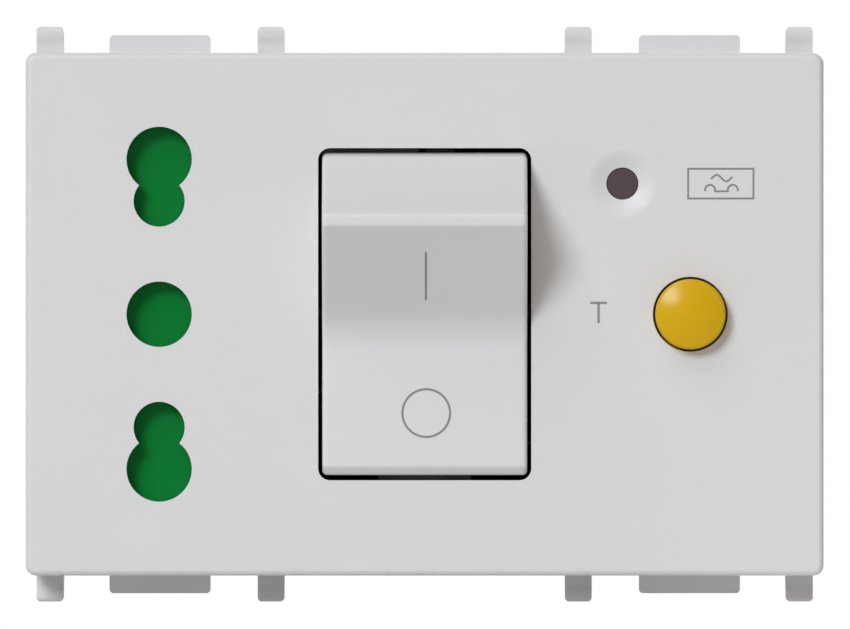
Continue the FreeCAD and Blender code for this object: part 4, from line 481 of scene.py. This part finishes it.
# Rocker: a hollow key of light grey ABS in a satin finish, with the on face above and the
# off face pressed in below. Line and ring are pad printed in mid grey.
rocker_abs = moulded_plastic(
    "satin_grey_abs_rocker", "#D9D9DA", "#D6D6D7", roughness=0.42, grain=0.3, relief=0.006
)
coat(rocker_abs, "rocker")
print_ink = moulded_plastic(
    "pad_printing_ink", "#858588", "#7F7F82", roughness=0.6, grain=0.2, relief=0.004
)
INK_LOW, INK_HIGH = -0.03, 0.012
PIVOT_Y = -5.7
FACE_LEVEL = 2.65
SWING = math.radians(44)


def off_face(u, v, w):
    """Point on the pressed lower face; v is the height above the rocker's axis."""
    return Vector((u, PIVOT_Y - FACE_LEVEL - w, v))


def on_face(u, v, w):
    """Point on the tilted upper face; v is the distance up that face."""
    out = FACE_LEVEL + w
    return Vector(
        (
            u,
            PIVOT_Y - out * math.cos(SWING) - v * math.sin(SWING),
            v * math.cos(SWING) - out * math.sin(SWING),
        )
    )


def circle(radius, count, across=0.0, up=0.0):
    """Points round a circle with its centre across and up."""
    ways = [math.tau * n / count for n in range(count)]
    return [(across + radius * math.cos(way), up + radius * math.sin(way)) for way in ways]


RING_ACROSS, RING_UP, RING_RADIUS, RING_POINTS, RING_STROKE = 0.13, -8.3, 2.0, 96, 0.185
ring = circle(RING_RADIUS, RING_POINTS, RING_ACROSS, RING_UP)
strokes("off_mark", [(ring, True)], RING_STROKE, INK_LOW, INK_HIGH, off_face, print_ink, "rocker")
BAR_ACROSS, BAR_FOOT, BAR_TOP, BAR_STROKE = 0.1, 4.2, 9.8, 0.17
bar = [(BAR_ACROSS, BAR_FOOT), (BAR_ACROSS, BAR_TOP)]
strokes("on_mark", [(bar, False)], BAR_STROKE, INK_LOW, INK_HIGH, on_face, print_ink, "rocker")

# Front cover: one moulding of light grey ABS with a fine satin grain, carrying its rest tabs
# and snap fingers. The sign of the residual current and a T are pad printed on its face.
cover_abs = moulded_plastic(
    "satin_grey_abs_cover", "#D6D6D7", "#D3D3D4", roughness=0.45, grain=0.28, relief=0.005
)
coat(cover_abs, "front_cover")


def on_plate(u, v, w):
    """Point on the plate's face; u runs across it and v up it."""
    return Vector((u, plate_face / MM - w, v))


SIGN_LEFT, SIGN_RIGHT, SIGN_LOW, SIGN_HIGH, SIGN_STROKE = 22.12, 27.6, 9.715, 12.21, 0.165
frame_line = [
    (SIGN_LEFT, SIGN_LOW),
    (SIGN_RIGHT, SIGN_LOW),
    (SIGN_RIGHT, SIGN_HIGH),
    (SIGN_LEFT, SIGN_HIGH),
]
WAVE_LEFT, WAVE_LENGTH, WAVE_LEVEL, WAVE_RISE = 24.04, 1.78, 11.43, 0.27
WAVE_START, WAVE_TURN, WAVE_STEPS = -0.3, 6.95, 32
wave = [
    (
        WAVE_LEFT + WAVE_LENGTH * n / WAVE_STEPS,
        WAVE_LEVEL + WAVE_RISE * math.sin(WAVE_START + WAVE_TURN * n / WAVE_STEPS),
    )
    for n in range(WAVE_STEPS + 1)
]
HUMP_MIDDLES = (23.965, 25.87)
HUMP_RADIUS, HUMP_LEG, HUMP_BASE, HUMP_STEPS = 0.42, 0.12, 10.32, 16
humps = []
for middle in HUMP_MIDDLES:
    humps.append((middle - HUMP_RADIUS, HUMP_BASE))
    for n in range(HUMP_STEPS + 1):
        angle = math.pi * (1 - n / HUMP_STEPS)
        humps.append(
            (
                middle + HUMP_RADIUS * math.cos(angle),
                HUMP_BASE + HUMP_LEG + HUMP_RADIUS * math.sin(angle),
            )
        )
    humps.append((middle + HUMP_RADIUS, HUMP_BASE))
sign = [(frame_line, True), (wave, False), (humps, False)]
strokes("current_sign", sign, SIGN_STROKE, INK_LOW, INK_HIGH, on_plate, print_ink, "device")
T_LEFT, T_MIDDLE, T_RIGHT = 13.9, 14.6, 15.3
T_FOOT, T_STEM_TOP, T_TOP, T_STROKE = -0.75, 0.9, 0.95, 0.2
letter = [
    ([(T_LEFT, T_TOP), (T_RIGHT, T_TOP)], False),
    ([(T_MIDDLE, T_STEM_TOP), (T_MIDDLE, T_FOOT)], False),
]
strokes("test_letter", letter, T_STROKE, INK_LOW, INK_HIGH, on_plate, print_ink, "device")

# Case screws: four zinc-plated steel screws with slotted heads, sunk in the rear face. They
# run the depth of the housing and hold it to the front cover.
coat(zinc_plated_steel, "case_screws")

# Floor: a plain pale table just below the device. Where the camera or a shiny surface sees it,
# it is lifted towards white, so that only the shadow shows on it.
FLOOR_LEVEL, FLOOR_RADIUS, FLOOR_SIDES = -0.030, 0.24, 96
FLOOR_LIFT = 0.35


def background_rays(tree):
    """1 for the rays that show the background, those of the camera, of gloss and of glass,
    and 0 for the light that falls on the device."""
    seen = add(tree, "ShaderNodeLightPath").outputs
    mirrored = add(
        tree,
        "ShaderNodeMath",
        {0: seen["Is Glossy Ray"], 1: seen["Is Transmission Ray"]},
        operation="MAXIMUM",
    )
    direct = {0: seen["Is Camera Ray"], 1: mirrored.outputs[0]}
    return add(tree, "ShaderNodeMath", direct, operation="MAXIMUM").outputs[0]


floor_mesh = bpy.data.meshes.new("floor")
rim = [(x, y, FLOOR_LEVEL) for x, y in circle(FLOOR_RADIUS, FLOOR_SIDES)]
floor_mesh.from_pydata(rim, [], [tuple(range(FLOOR_SIDES))])
white_table, tree = start_material("white_table")
lift = add(
    tree, "ShaderNodeMath", {0: background_rays(tree)}, {1: FLOOR_LIFT}, operation="MULTIPLY"
)
matt = add(tree, "ShaderNodeBsdfDiffuse", values={"Color": linear("#E6E6E6")})
glow = add(tree, "ShaderNodeEmission", {"Strength": lift.outputs[0]})
both = add(tree, "ShaderNodeAddShader", {0: matt.outputs[0], 1: glow.outputs[0]})
add(tree, "ShaderNodeOutputMaterial", {"Surface": both.outputs[0]})
floor_mesh.materials.append(white_table)
floor = bpy.data.objects.new("floor", floor_mesh)
bpy.context.scene.collection.objects.link(floor)

# Light: a soft key lamp above and to the left, a wide lamp overhead, one behind for the views
# from there, and a white room. For diffuse light the room is dim and a little warm.
LAMP_DISTANCE = 2.0
ROOM_LIGHT = 0.22
for name, way, size, energy, colour in (
    ("key_lamp", Vector((-0.44, -1.0, 0.45)), 0.7, 23.8, "#F3FAFF"),
    ("top_lamp", Vector((-0.35, -0.55, 1.0)), 1.4, 10.0, "#FFFCF5"),
    ("rear_lamp", Vector((0.45, 1.0, 0.55)), 1.4, 24.0, "#FFFFFF"),
):
    lamp = bpy.data.lights.new(name, "AREA")
    lamp.shape = "DISK"
    lamp.size = size
    lamp.energy = energy
    lamp.color = linear(colour)[:3]
    holder = bpy.data.objects.new(name, lamp)
    holder.location = way.normalized() * LAMP_DISTANCE
    holder.rotation_euler = way.to_track_quat("Z", "Y").to_euler()
    bpy.context.scene.collection.objects.link(holder)
world = bpy.data.worlds.new("studio")
world.use_nodes = True
tree = world.node_tree
tree.nodes.clear()
shown = background_rays(tree)
strength = add(
    tree, "ShaderNodeMapRange", {"Value": shown}, {"To Min": ROOM_LIGHT, "To Max": 1.0}
)
tint = add(
    tree,
    "ShaderNodeMix",
    {"Factor": shown},
    {6: linear("#FFEBE0"), 7: linear("#FFFFFF")},
    data_type="RGBA",
)
room = add(
    tree,
    "ShaderNodeBackground",
    {"Color": tint.outputs[2], "Strength": strength.outputs["Result"]},
)
add(tree, "ShaderNodeOutputWorld", {"Surface": room.outputs[0]})
bpy.context.scene.world = world
bpy.context.scene.view_settings.view_transform = "Standard"
